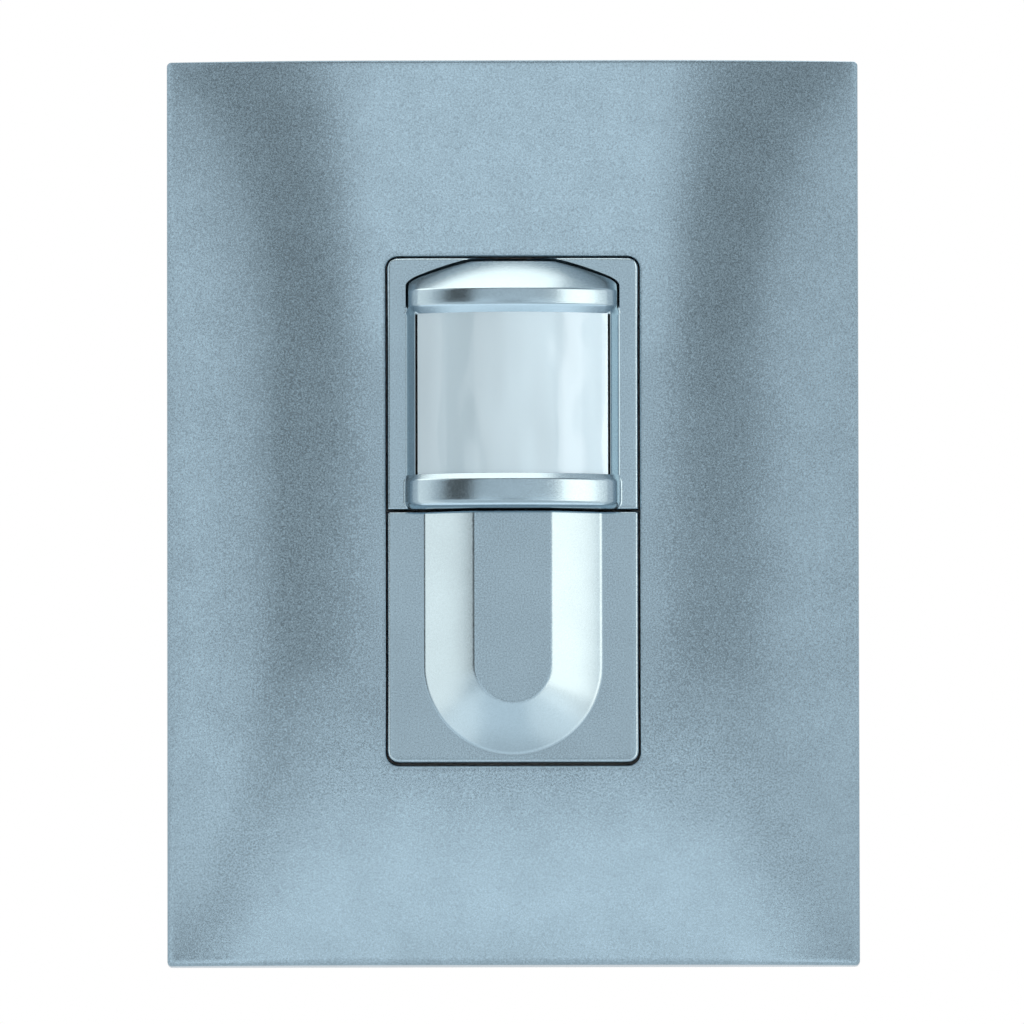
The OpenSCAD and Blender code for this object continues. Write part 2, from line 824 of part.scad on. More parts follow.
// Room behind the bands for the lens and its retainer, with the hollow of the dome above
module head_room_section() {
    room_r = lens_r + seat_gap;
    room_low = lens_low - lens_lap - lens_gap;
    room_top = lens_top + lens_lap + lens_gap;
    hollow_top = bezel_top - 2 * skirt_wall;
    hollow_r = base_r + 0.5;
    polygon([
        [0, room_low], [room_r, room_low], [room_r, room_top], [hollow_r, hollow_top], [0, hollow_top]
    ]);
}

module about_head_axis() {
    translate([0, 0, head_axis]) up_wall() rotate_extrude($fn = 128) children();
}

// Cheek beside the lens, which slopes from the bezel up to the lens
module cheek() {
    edge_z = head_axis + sqrt(lens_r * lens_r - lens_half * lens_half);
    translate([0, upper_low, 0])
        rotate([90, 0, 0])
            linear_extrude(upper_low - band_top)
                polygon([
                    [cavity_half, face_z - bezel_t / 2], [head_half, face_z - bezel_t / 2],
                    [head_half, face_z], [head_half - cheek_slope, edge_z], [cavity_half, edge_z]
                ]);
}

// Snap hook at the foot of the bezel's skirt
module bezel_hook(out) {
    wide = 4.6;
    barb = 0.6;
    catch_z = deck_low - seat_gap;
    tip_z = catch_z - 1.1;
    translate([0, lens_mid + wide / 2, 0])
        rotate([90, 0, 0])
            linear_extrude(wide)
                polygon([
                    [out, tip_z], [out, deck_z + 1], [out - skirt_wall, deck_z + 1],
                    [out - skirt_wall, catch_z], [out - skirt_wall - barb, catch_z],
                    [out - skirt_wall, tip_z]
                ]);
}

module sensor_bezel() {
    skirt_w = tube_in_w - 2 * slip_gap;
    skirt_low = bezel_low + slip_gap;
    skirt_top = tube_in_h / 2 - slip_gap;
    skirt_h = skirt_top - skirt_low;
    skirt_mid = (skirt_top + skirt_low) / 2;
    color("lightsteelblue") on_wall()
        difference() {
            union() {
                front_slab(bezel_t, bezel_low, bezel_top);
                split_corners(bezel_t, bezel_low + window_r - front_gap);
                intersection() {
                    union() {
                        about_head_axis() lower_band_section();
                        about_head_axis() upper_band_section();
                    }
                    translate([0, bezel_top, head_axis])
                        rotate([90, 0, 0]) linear_extrude(bezel_top - bezel_low) head_plan();
                    between(face_z - bezel_t / 2, face_z + 2 * head_rise) head_front();
                }
                both_sides() {
                    cheek();
                    bezel_hook(skirt_w / 2);
                }
                translate([0, skirt_mid, 0])
                    difference() {
                        block(skirt_w, skirt_h, deck_z, face_z - bezel_t + eps);
                        block(skirt_w - 2 * skirt_wall, skirt_h - 2 * skirt_wall, deck_z - 1, face_z);
                    }
            }
            intersection() {
                about_head_axis() head_room_section();
                translate([0, lens_mid, 0])
                    block(2 * cavity_half, window_h, deck_z - 1, face_z + 2 * head_rise);
            }
            translate([0, lens_mid, 0])
                block(2 * cavity_half, lens_top - lens_low, face_z - bezel_t - 1, face_z + 2 * head_rise);
        }
}

// Curved lens, with the grooves between its segments on the inside
module fresnel_lens() {
    low = lens_low - lens_lap;
    tall = lens_top - lens_low + 2 * lens_lap;
    groove = 0.25;
    columns = 6;
    rows = 3;
    color("lightcyan") on_wall()
        difference() {
            intersection() {
                about_head_axis() translate([lens_in_r, low]) square([lens_t, tall]);
                translate([0, low + tall / 2, 0])
                    block(2 * lens_half, tall, face_z - bezel_t, face_z + 2 * head_rise);
            }
            for (i = [1:rows - 1])
                about_head_axis()
                    translate([lens_in_r - 1, low + tall * i / rows - groove / 2])
                        square([1 + groove, groove]);
            for (i = [1:columns - 1])
                translate([lens_half * (2 * i / columns - 1) - groove / 2, low - 1, head_axis])
                    intersection() {
                        cube([groove, tall + 2, through]);
                        translate([-lens_half * (2 * i / columns - 1) + groove / 2, 0, 0])
                            up_wall() cylinder(r = lens_in_r + groove, h = tall + 2, $fn = 128);
                    }
        }
}

// Shroud that stands on the deck and holds the lens in the bezel
module lens_retainer() {
    low = lens_low - lens_lap + lens_gap;
    tall = lens_top - lens_low + 2 * lens_lap - 2 * lens_gap;
    wide = 2 * lens_half - 2 * lens_gap;
    color("dimgray") on_wall()
        translate([0, low + tall / 2, 0])
            difference() {
                intersection() {
                    block(wide, tall, deck_z, face_z + 2 * head_rise);
                    translate([0, -tall / 2 - 1, head_axis])
                        up_wall() cylinder(r = lens_in_r - seat_gap, h = tall + 2, $fn = 128);
                }
                block(wide - 2 * skirt_wall, tall - 2 * skirt_wall, deck_z - 1, face_z + 2 * head_rise);
            }
}

// Half section of the raised U, with its slope bulging a little
module u_section() {
    polygon(concat(
        [[0, face_z - front_soft], [0, tongue_z]],
        arc_between([tongue_r, tongue_z], [u_r, face_z], u_bulge, 6),
        [[u_r, face_z - front_soft]]
    ));
}

// Half section of the hollow behind the U
module u_hollow_section() {
    foot = u_r - u_foot_wall;
    polygon([
        [0, pad_back - 1], [0, tongue_z - pad_edge_wall], [tongue_r - 0.3, tongue_z - pad_edge_wall],
        [foot, pad_back], [foot, pad_back - 1]
    ]);
}

// Sweeps a half section round the end of the U and up its two legs
module along_u(top) {
    translate([0, u_y, 0]) {
        rotate(180) rotate_extrude(angle = 180, $fn = 96) children();
        translate([0, top - u_y, 0])
            both_sides() rotate([90, 0, 0]) linear_extrude(top - u_y) children();
    }
}

module push_pad() {
    rib_r = 1.2;
    stem_top = board_z + switch_h + stem_rise;
    ceiling = tongue_z - pad_edge_wall;
    color("lightsteelblue") on_wall()
        union() {
            difference() {
                union() {
                    front_slab(pad_t, pad_low, pad_top);
                    split_corners(pad_t, pad_top - window_r + front_gap);
                    along_u(pad_top) u_section();
                }
                along_u(pad_top - pad_edge_wall) u_hollow_section();
            }
            translate([0, switch_y, 0]) post(rib_r, stem_top + seat_gap, ceiling + eps);
            translate([0, spring_y, 0]) {
                post(spring_boss_r, spring_seat, tongue_z - 2 * pad_edge_wall);
                post(spring_peg_r, spring_seat - 0.8, spring_seat + eps);
            }
            both_sides()
                translate([ear_out - ear_t, pivot_y, 0])
                    to_right() {
                        translate([-pivot_z, 0, 0]) cylinder(r = ear_r, h = ear_t);
                        translate([-pad_back - eps, -ear_r, 0])
                            cube([pad_back - pivot_z + eps, 2 * ear_r, ear_t]);
                        translate([-pivot_z, 0, ear_t - eps])
                            cylinder(r = pin_r, h = slip_gap + lug_t - 2 * slip_gap);
                    }
        }
}

// Coil spring: one tube along a helix
module pad_spring() {
    steps = spring_turns * spring_rings;
    climb = spring_high - spring_low;
    function middle(k) = 360 * spring_turns * k / steps;
    points = [
        for (k = [0:steps])
            for (s = [0:spring_sides - 1])
                let (
                    a = middle(k),
                    b = 360 * s / spring_sides,
                    r = spring_r + spring_wire * cos(b)
                )
                [r * cos(a), r * sin(a), spring_low + climb * k / steps + spring_wire * sin(b)]
    ];
    walls = [
        for (k = [0:steps - 1])
            for (s = [0:spring_sides - 1])
                let (
                    n = (s + 1) % spring_sides,
                    p = k * spring_sides,
                    q = p + spring_sides
                )
                each [[p + s, q + n, q + s], [p + s, p + n, q + n]]
    ];
    first = [for (s = [spring_sides - 1:-1:0]) s];
    end = [for (s = [0:spring_sides - 1]) steps * spring_sides + s];
    least_gap = climb / spring_turns - 2 * spring_wire;
    echo(least_gap_of_spring = least_gap);
    color("silver") on_wall()
        translate([0, spring_y, 0])
            polyhedron(points, concat([first], walls, [end]));
}

// Board outline with notches for the corner columns
module board_outline() {
    square([board_w, 2 * notch_y], center = true);
    square([2 * notch_x, board_h], center = true);
}

module sensor_board() {
    color("darkgreen") on_wall()
        difference() {
            between(board_low, board_z) board_outline();
            for (s = [-1, 1])
                translate([0, s * post_y, 0]) post(board_screw_r + 0.3, board_low - 1, board_z + 1);
            header_places() post(header_pin_r + run_gap, board_low - 1, board_z + 1);
        }
}

module board_screws() {
    tip = deck_low + deck_t / 4;
    head_low = board_low - board_screw_head_h;
    cross_l = 2;
    cross_w = 0.5;
    color("silver") on_wall()
        for (s = [-1, 1])
            translate([0, s * post_y, 0])
                difference() {
                    union() {
                        post(board_screw_r, board_low - eps, tip);
                        post(board_screw_head_r, head_low, board_low);
                    }
                    for (a = [0, 90])
                        rotate(a) block(cross_l, cross_w, head_low - 1, head_low + board_screw_head_h / 2);
                }
}

module pir_spacer() {
    color("white") on_wall()
        translate([0, lens_mid, 0])
            difference() {
                post(pir_rim_r - 0.4, board_z, pir_z);
                post(1, board_z - 1, pir_z + 1);
            }
}

module pir_can() {
    tab_l = 1.4;
    tab_w = 0.9;
    color("lightgray") on_wall()
        translate([0, lens_mid, 0])
            difference() {
                union() {
                    post(pir_rim_r, pir_z, pir_z + pir_rim_h);
                    post(pir_r, pir_z, pir_top);
                    translate([pir_rim_r, 0, 0]) block(tab_l, tab_w, pir_z, pir_z + pir_rim_h);
                }
                block(pir_window_w, pir_window_h, pir_top - pir_window_t - seat_gap, pir_top + 1);
            }
}

module pir_window() {
    color("dimgray") on_wall()
        translate([0, lens_mid, 0])
            block(
                pir_window_w - seat_gap, pir_window_h - seat_gap,
                pir_top - pir_window_t - seat_gap, pir_top - seat_gap
            );
}

module light_sensor() {
    disc_low = deck_z + 0.2;
    color("tan") on_wall()
        translate([lamp_x, lamp_y, 0])
            union() {
                post(cell_r, disc_low, disc_low + 2);
                for (s = [-1, 1])
                    translate([s * cell_r / 2, 0, 0]) post(0.3, board_z, disc_low + eps);
            }
}

module status_led() {
    rim_h = 1;
    body_h = 3.6;
    color("tomato") on_wall()
        translate([-lamp_x, lamp_y, 0])
            union() {
                post(lamp_r + 0.4, board_z, board_z + rim_h);
                post(lamp_r, board_z, board_z + body_h);
                translate([0, 0, board_z + body_h]) sphere(lamp_r);
            }
}

module control_chip() {
    chip_w = 3.9;
    chip_l = 8.6;
    chip_h = 1.5;
    lead_pitch = 1.27;
    lead_w = 0.4;
    leads = 7;
    color("black") on_wall()
        translate([0, trimmer_y, 0])
            union() {
                block(chip_w, chip_l, board_z + 0.15, board_z + chip_h);
                for (i = [0:leads - 1])
                    translate([0, (i - (leads - 1) / 2) * lead_pitch, 0])
                        block(chip_w + 2, lead_w, board_z, board_z + 0.6);
            }
}

module switch_body() {
    well = stem_sunk + stem_travel + slip_gap;
    color("black") on_wall()
        translate([0, switch_y, 0])
            difference() {
                block(switch_w, switch_w, board_z, board_z + switch_h);
                post(stem_r + run_gap, board_z + switch_h - well, board_z + switch_h + 1);
            }
}

module switch_stem() {
    color("white") on_wall()
        translate([0, switch_y, 0])
            post(stem_r, board_z + switch_h - stem_sunk, board_z + switch_h + stem_rise);
}

module trimmer_body(x) {
    on_wall()
        translate([x, trimmer_y, 0])
            difference() {
                block(trimmer_w, trimmer_w, board_z, board_z + trimmer_h);
                post(rotor_peg_r + run_gap, board_z + trimmer_h - 1.5, board_z + trimmer_h + 1);
            }
}

module trimmer_rotor(x) {
    low = board_z + trimmer_h + seat_gap;
    on_wall()
        translate([x, trimmer_y, 0])
            difference() {
                union() {
                    post(rotor_r, low, low + rotor_h);
                    post(rotor_peg_r, low - 1.3, low + eps);
                }
                block(2 * rotor_r + 1, 0.7, low + rotor_h / 2, low + rotor_h + 1);
            }
}

module time_trimmer_body() {
    color("royalblue") trimmer_body(-trimmer_x);
}

module time_trimmer_rotor() {
    color("white") trimmer_rotor(-trimmer_x);
}

module light_trimmer_body() {
    color("royalblue") trimmer_body(trimmer_x);
}

module light_trimmer_rotor() {
    color("white") trimmer_rotor(trimmer_x);
}

module power_board() {
    color("darkgreen") on_wall()
        difference() {
            between(power_low, power_z) board_outline();
            header_places() post(header_pin_r + run_gap, power_low - 1, power_z + 1);
        }
}

module relay() {
    color("black") on_wall()
        translate([relay_x, relay_y, 0])
            union() {
                block(relay_w, relay_l, power_z, power_z + relay_h - relay_round);
                block(relay_w - 2 * relay_round, relay_l - 2 * relay_round, power_z, power_z + relay_h);
            }
}

module film_capacitor() {
    color("goldenrod") on_wall()
        translate([film_x, relay_y, 0]) block(film_w, film_l, power_z, power_z + film_h);
}

// Can with the cross that lets it vent
module filter_capacitor() {
    cross_w = 0.4;
    cross_deep = 0.2;
    top = power_z + filter_h;
    color("navy") on_wall()
        translate([filter_x, filter_y, 0])
            difference() {
                post(filter_r, power_z, top);
                for (a = [0, 90])
                    rotate(a) block(1.2 * filter_r, cross_w, top - cross_deep, top + 1);
            }
}

module varistor() {
    stand = 1;
    lead_x = 2.5;
    lead_y = 0.7;
    color("deepskyblue") on_wall()
        translate([film_x, disc_y, power_z + disc_r + stand])
            union() {
                translate([0, disc_t / 2, 0]) rotate([90, 0, 0]) cylinder(r = disc_r, h = disc_t);
                for (s = [-1, 1])
                    translate([s * lead_x, s * lead_y, 0]) post(lead_r, -disc_r - stand, 0);
            }
}

module fuse_resistor() {
    stand = 0.5;
    color("seagreen") on_wall()
        translate([film_x, fuse_y, power_z + fuse_r + stand])
            union() {
                translate([-fuse_l / 2, 0, 0]) to_right() cylinder(r = fuse_r, h = fuse_l);
                translate([-fuse_reach, 0, 0]) to_right() cylinder(r = lead_r, h = 2 * fuse_reach);
                for (s = [-1, 1])
                    translate([s * (fuse_reach - lead_r), 0, 0]) post(lead_r, -fuse_r - stand, 0);
            }
}

module bridge_rectifier() {
    stand = 0.4;
    tall = 3;
    leg = 0.8;
    color("black") on_wall()
        translate([filter_x - filter_r, bridge_y, 0])
            union() {
                block(bridge_w, bridge_l, power_z + stand, power_z + stand + tall);
                four_corners(bridge_w / 2 - 2 * leg, bridge_l / 2 + leg / 4)
                    block(leg, leg, power_z, power_z + stand + tall / 2);
            }
}

module header_places() {
    for (i = [0:pin_count - 1])
        translate([(i - (pin_count - 1) / 2) * pin_pitch, header_y, 0]) children();
}

module header_strip() {
    color("black") on_wall()
        difference() {
            translate([0, header_y, 0])
                block(pin_count * pin_pitch, strip_w, power_z, power_z + strip_h);
            header_places() post(header_pin_r + run_gap, power_z - 1, power_z + strip_h + 1);
        }
}

module header_pins() {
    color("gold") on_wall()
        header_places() post(header_pin_r, power_low - 0.8, board_z + 0.6);
}

function term_x(i) = (i - (term_count - 1) / 2) * term_pitch;
function term_z() = rear_end + term_back + (term_depth - term_back) / 2;

module terminal_block() {
    pocket = cage_w;
    color("darkslategray") on_wall()
        difference() {
            translate([0, term_mid, 0]) block(term_w, term_h, rear_end, rear_end + term_depth);
            for (i = [0:term_count - 1])
                translate([term_x(i), term_mid, 0]) {
                    block(pocket, term_h - 2 * term_wall, rear_end + term_back, rear_end + term_depth + 1);
                    post(wire_r, rear_end - 1, rear_end + term_back + 1);
                    translate([0, -term_h / 2 - 1, term_z()])
                        up_wall() cylinder(r = clamp_head_r + 0.2, h = term_wall + 2);
                }
        }
}

module terminal_cages() {
    side = cage_w - 2 * cage_gap;
    tall = term_h - 2 * term_wall - 2 * cage_gap;
    color("goldenrod") on_wall()
        for (i = [0:term_count - 1])
            translate([term_x(i), term_mid, 0])
                difference() {
                    block(side, tall, rear_end + term_back + cage_gap, rear_end + term_depth - cage_gap);
                    post(wire_r + 0.2, rear_end, rear_end + term_depth - 1);
                    translate([0, -term_h / 2, term_z()])
                        up_wall() cylinder(r = clamp_r + run_gap, h = term_h / 2);
                }
}

module terminal_screws() {
    head_y = term_mid - term_h / 2 + term_wall + cage_gap - run_gap;
    color("silver") on_wall()
        for (i = [0:term_count - 1])
            translate([term_x(i), head_y, term_z()])
                up_wall()
                    difference() {
                        union() {
                            translate([0, 0, -clamp_head_h]) cylinder(r = clamp_head_r, h = clamp_head_h);
                            cylinder(r = clamp_r, h = clamp_l);
                        }
                        block(2 * clamp_head_r + 1, clamp_slot, -clamp_head_h - 1, clamp_slot - clamp_head_h);
                    }
}

wall_plate();
support_frame();
front_housing();
rear_housing();
housing_screws();
sensor_bezel();
fresnel_lens();
lens_retainer();
push_pad();
pad_spring();
sensor_board();
board_screws();
pir_spacer();
pir_can();
pir_window();
light_sensor();
status_led();
control_chip();
switch_body();
switch_stem();
time_trimmer_body();
time_trimmer_rotor();
light_trimmer_body();
light_trimmer_rotor();
power_board();
relay();
film_capacitor();
filter_capacitor();
varistor();
fuse_resistor();
bridge_rectifier();
header_strip();
header_pins();
terminal_block();
terminal_cages();
terminal_screws();
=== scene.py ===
import json
import math

import bmesh
import bpy
import numpy as np
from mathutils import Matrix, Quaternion, Vector


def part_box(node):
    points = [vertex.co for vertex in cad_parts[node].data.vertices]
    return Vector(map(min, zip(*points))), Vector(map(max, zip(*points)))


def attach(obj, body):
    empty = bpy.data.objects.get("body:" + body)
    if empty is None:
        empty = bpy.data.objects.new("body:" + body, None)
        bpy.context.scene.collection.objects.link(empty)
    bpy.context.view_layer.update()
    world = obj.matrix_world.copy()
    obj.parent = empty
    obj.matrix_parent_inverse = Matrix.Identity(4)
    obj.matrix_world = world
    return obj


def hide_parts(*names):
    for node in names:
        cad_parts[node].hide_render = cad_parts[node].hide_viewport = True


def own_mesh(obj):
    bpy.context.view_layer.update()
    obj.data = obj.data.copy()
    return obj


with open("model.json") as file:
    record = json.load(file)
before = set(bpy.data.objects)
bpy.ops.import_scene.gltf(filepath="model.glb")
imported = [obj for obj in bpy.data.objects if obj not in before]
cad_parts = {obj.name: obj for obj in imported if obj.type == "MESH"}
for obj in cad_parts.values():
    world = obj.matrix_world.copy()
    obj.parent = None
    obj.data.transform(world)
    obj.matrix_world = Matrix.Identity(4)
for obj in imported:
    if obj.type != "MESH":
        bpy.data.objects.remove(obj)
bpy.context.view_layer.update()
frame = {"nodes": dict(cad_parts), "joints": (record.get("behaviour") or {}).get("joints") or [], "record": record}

# Motion sensor light switch. Sizes are in millimetres and drawn face up, as on a table:
# x to the right, y up the wall and z out of the wall. to_row() stands them on the wall.
MM = 0.001
TINY = 1e-9


def face_box(node):
    """Lowest and highest corner of a CAD node, face up, in millimetres."""
    low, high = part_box(node)
    return Vector((low.x, low.z, -high.y)) / MM, Vector((high.x, high.z, -low.y)) / MM


plate_low, plate_high = face_box("wall_plate")
bezel_box_low, bezel_box_high = face_box("sensor_bezel")
lens_box_low, lens_box_high = face_box("fresnel_lens")
pad_box_low, pad_box_high = face_box("push_pad")
spring_box_low, spring_box_high = face_box("pad_spring")
stem_low, stem_high = face_box("switch_stem")

# Sizes of the wall plate
plate_w = plate_high.x - plate_low.x
plate_h = plate_high.y - plate_low.y
crown_z = plate_high.z
crown_w = 34
crown_h = 40
plate_edge = 2.6
plate_fall = 0.52
fall_power = 1.5
plate_wall = 2
plate_soft = 0.4
plate_corner = 0.6
plate_lean = 0.1
collar_wall = 1.4
collar_z = 4.9
window_w = 33
window_h = 66.2
window_r = 1.65
window_lip = 0.25

# Heights between which the plate's grain grows fainter, and the share that it loses
smooth_from = -18
smooth_to = -42
smooth_share = 0.33

# Sizes of the front, and of the bezel in it
face_sink = 0.2
face_z = crown_z - face_sink
front_gap = 0.2
front_half = bezel_box_high.x
front_corner = 1.45
front_soft = 0.4
bezel_t = 2.2
bezel_low = bezel_box_low.y
bezel_top = window_h / 2 - front_gap
bezel_back = face_z - bezel_t

# Sensor head on the bezel: two bands with the lens between them, and a dome above
head_r = 24
head_rise = bezel_box_high.z - face_z
head_axis = bezel_box_high.z - head_r
head_half = 13.9
band_round = 1.0
band_bulge = 0.07
band_corner = 1.1
end_round = 2.0
arch_round = 0.5
crease = 0.15
lens_lap = 1.5
lens_recess = 1.1
lens_low = lens_box_low.y + lens_lap
lens_top = lens_box_high.y - lens_lap
lens_half = lens_box_high.x
lens_gap = 0.25
lens_t = 0.8
band_top = lens_low - lens_recess
slope_h = 0.8
slope_drop = 0.65
slope_foot = lens_low - slope_h
upper_low = lens_top + lens_recess
upper_h = 2
dome_foot = upper_low + upper_h
dome_h = 4.9
dome_lift = 1.3
dome_bulge = 0.25
cavity_half = lens_half + lens_gap
cheek_lip = 0.06
cheek_inset = 0.15
cheek_top = cavity_half + cheek_lip
cheek_foot = head_half - cheek_inset

# Columns of the bezel's grid beside the head: its wall, the fillet at its foot, and the flat field
wall_t = 0.02
fillet = 0.34
wall_foot = head_half + wall_t
flat_start = wall_foot + fillet
flat_end = front_half - front_soft

# Fine seam beside the dome: its depth, what is left behind it, the height in which it starts,
# how much it widens up to the crest, and the least share that its slant is widened for
seam_depth = 1.9
seam_back = 0.15
seam_start = 0.9
seam_growth = 0.8
seam_lean = 0.2
seam_floor = bezel_back + seam_back

# Drop at the dome's crest: its height, and the power of its curve
crest_cut = 0.6
crest_steep = 0.4

# Sizes of the push pad
pad_t = 1.8
pad_low = pad_box_low.y
pad_top = pad_box_high.y
pad_back = face_z - pad_t
pad_wall = 1.6
tongue_z = pad_box_high.z
tongue_r = 5
u_r = 11.5
u_margin = 1.1
u_y = pad_low + u_margin + u_r
u_bulge = 0.14
u_crease = 0.22
u_foot_wall = 2.4

# Spring under the pad, and the pad's hinge
spring_wire = 0.25
spring_turns = 4
spring_r = spring_box_high.x - spring_wire
spring_y = (spring_box_low.y + spring_box_high.y) / 2
hinge = next(joint for joint in frame["joints"] if joint["name"] == "pad_hinge")
pivot_y = hinge["pos_m"][2] / MM
pivot_z = -hinge["pos_m"][1] / MM

# Share of the mould's grain on plain faces and on the smoother ones
GRAINED = 1.0
SMOOTH = 0.3


def to_row(points):
    """Points drawn face up in millimetres, stood on the wall in metres."""
    p = np.asarray(points, float)
    return np.stack([p[..., 0], -p[..., 2], p[..., 1]], axis=-1) * MM


class Shell:
    """Collects the points and faces of one piece."""

    def __init__(self):
        self.points = []
        self.faces = []
        self.grain = []

    def add(self, points, grain):
        """Adds points and returns the number of the first."""
        first = len(self.points)
        flat = np.asarray(points, float).reshape(-1, 3)
        self.points.extend(flat.tolist())
        self.grain.extend(np.broadcast_to(np.asarray(grain, float).ravel(), len(flat)).tolist())
        return first

    def grid(self, points, grain=0.0, wrap_rows=False, wrap_columns=False, keep=None):
        """Adds a grid of points with a face in each cell that keep allows."""
        rows, columns = np.shape(points)[:2]
        first = self.add(points, grain)
        for j in range(rows if wrap_rows else rows - 1):
            for k in range(columns if wrap_columns else columns - 1):
                if keep is None or keep[j, k]:
                    a = first + j * columns
                    b = first + (j + 1) % rows * columns
                    n = (k + 1) % columns
                    self.faces.append((a + k, a + n, b + n, b + k))
        return first

    def tube(self, rings):
        """Adds a closed tube through rings, with a cap at each end."""
        rings = np.asarray(rings, float)
        rows, columns = rings.shape[:2]
        first = self.grid(rings, wrap_columns=True)
        last = first + (rows - 1) * columns
        self.faces.append(tuple(range(first, first + columns))[::-1])
        self.faces.append(tuple(range(last, last + columns)))

    def cylinder(self, centre, axis, length, radius):
        """Adds a closed cylinder that starts at centre and runs along axis."""
        sides = 24
        axis = Vector(axis).normalized()
        across = axis.orthogonal().normalized()
        other = axis.cross(across)
        turn = np.linspace(0, 2 * math.pi, sides, endpoint=False)
        ring = np.array([across * math.cos(a) * radius + other * math.sin(a) * radius for a in turn])
        start = np.array(centre, float)
        self.tube([start + ring, start + ring + np.array(axis) * length])

    def piece(self, name, body, node, slot):
        """Makes the Blender object, which rides on a body and stands for a CAD node."""
        weld = 1e-7
        least_edge = 1e-8
        sharp_angle = math.radians(40)
        mesh = bpy.data.meshes.new(name)
        mesh.from_pydata(to_row(self.points).tolist(), [], self.faces)
        layer = mesh.attributes.new("grain", "FLOAT", "POINT")
        layer.data.foreach_set("value", self.grain)
        work = bmesh.new()
        work.from_mesh(mesh)
        bmesh.ops.remove_doubles(work, verts=work.verts, dist=weld)
        bmesh.ops.dissolve_degenerate(work, edges=work.edges, dist=least_edge)
        bmesh.ops.recalc_face_normals(work, faces=work.faces)
        work.to_mesh(mesh)
        work.free()
        mesh.polygons.foreach_set("use_smooth", [True] * len(mesh.polygons))
        mesh.set_sharp_from_angle(angle=sharp_angle)
        piece = bpy.data.objects.new(name, mesh)
        bpy.context.scene.collection.objects.link(piece)
        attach(piece, body)
        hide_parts(node)
        return piece


def part_way(value, start, end):
    """How far a value has come from start to end, kept between 0 and 1."""
    return np.clip((value - start) / (end - start), 0, 1)


def smooth_step(t):
    """A share from 0 to 1 that starts and stops gently."""
    return t * t * (3 - 2 * t)


def mid_bulge(t):
    """0 at both ends of a share and 1 in its middle."""
    return 4 * t * (1 - t)


def eased(start, end, steps):
    """Steps from start to end that are closer together near both ends."""
    t = np.linspace(0, math.pi, steps + 1)
    return start + (end - start) * (1 - np.cos(t)) / 2


def stations(stops, steps):
    """One run of stations through several stops, with so many eased steps between each two."""
    runs = [eased(a, b, n) for a, b, n in zip(stops, stops[1:], steps)]
    return np.concatenate([runs[0]] + [run[1:] for run in runs[1:]])


def blend(first, second, steps):
    """Outlines in even steps from the first, which is left out, to the second."""
    return [first * (1 - t) + second * t for t in np.linspace(0, 1, steps + 1)[1:]]


def soft_drop(distance, radius):
    """How far a rounded edge lies below its face, at a distance in from the edge."""
    d = np.clip(1 - np.asarray(distance, float) / radius, 0, 1)
    return radius * (1 - np.sqrt(1 - d * d))


def softened(profile, at, reach):
    """A profile with its creases rounded, as the mean over a short reach."""
    samples = 9
    return np.mean([profile(at + shift) for shift in np.linspace(-reach, reach, samples)], axis=0)


def two_sheets(shell, x, y, front, back, grain, keep=None):
    """Adds a front and a back over one grid, and returns a function that puts a wall between them."""
    top = shell.grid(np.stack([x, y, front], axis=-1), grain, keep=keep)
    low = shell.grid(np.stack([x, y, back], axis=-1), keep=keep)

    def wall(p, q):
        shell.faces.append((top + p, top + q, low + q, low + p))

    return wall


def closed_slab(shell, x, y, front, back, grain, keep):
    """A solid between a front and a back over one grid, with a wall round each open side."""
    wall = two_sheets(shell, x, y, front, back, grain, keep)
    rows, columns = front.shape
    kept = np.zeros((rows + 1, columns + 1), bool)
    kept[1:-1, 1:-1] = keep
    for j in range(rows):
        for k in range(columns):
            here = j * columns + k
            if k + 1 < columns and kept[j, k + 1] != kept[j + 1, k + 1]:
                wall(here, here + 1)
            if j + 1 < rows and kept[j + 1, k] != kept[j + 1, k + 1]:
                wall(here, here + columns)


def open_slab(shell, x, y, front, back, grain):
    """Like closed_slab, but with no wall along the last row, where the pad's two legs meet."""
    wall = two_sheets(shell, x, y, front, back, grain)
    rows, columns = front.shape
    for k in range(columns - 1):
        wall(k, k + 1)
    for j in range(rows - 1):
        for k in (j * columns, j * columns + columns - 1):
            wall(k, k + columns)


# Wall plate

def plate_z(x, y):
    """Height of the plate's front off the wall."""
    across = np.maximum(0, np.abs(x) - crown_w / 2) / (plate_w / 2 - crown_w / 2)
    along = np.maximum(0, np.abs(y) - crown_h / 2) / (plate_h / 2 - crown_h / 2)
    return plate_edge + (crown_z - plate_edge) * (1 - across**2) * (1 - plate_fall * along**fall_power)


def outline(w, h, r):
    """Points round a rectangle with round corners, anticlockwise from the foot of its right side."""
    long_steps = 56
    short_steps = 44
    corner_steps = 8
    x = w / 2 - r
    y = h / 2 - r
    turn = np.linspace(0, math.pi / 2, corner_steps + 1)[1:-1]
    bow = np.stack([np.cos(turn), np.sin(turn)], axis=-1) * r
    up = np.linspace(-y, y, long_steps + 1)
    left = np.linspace(x, -x, short_steps + 1)
    right_side = np.stack([np.full_like(up, w / 2), up], axis=-1)
    top_side = np.stack([left, np.full_like(left, h / 2)], axis=-1)
    half = np.concatenate([
        right_side,
        bow + (x, y),
        top_side,
        np.stack([-bow[:, 1], bow[:, 0]], axis=-1) + (-x, y),
    ])
    return np.concatenate([half, -half])


def round_window(margin):
    """The window's outline, wider by a margin."""
    return outline(window_w + 2 * margin, window_h + 2 * margin, window_r + margin)


def on_plate(points, drop):
    """An outline laid on the plate's front, or lowered from it."""
    z = plate_z(points[:, 0], points[:, 1]) - drop
    return np.column_stack([points, z])


def at_level(points, z):
    """An outline at one height off the wall."""
    return np.column_stack([points, np.full(len(points), z)])


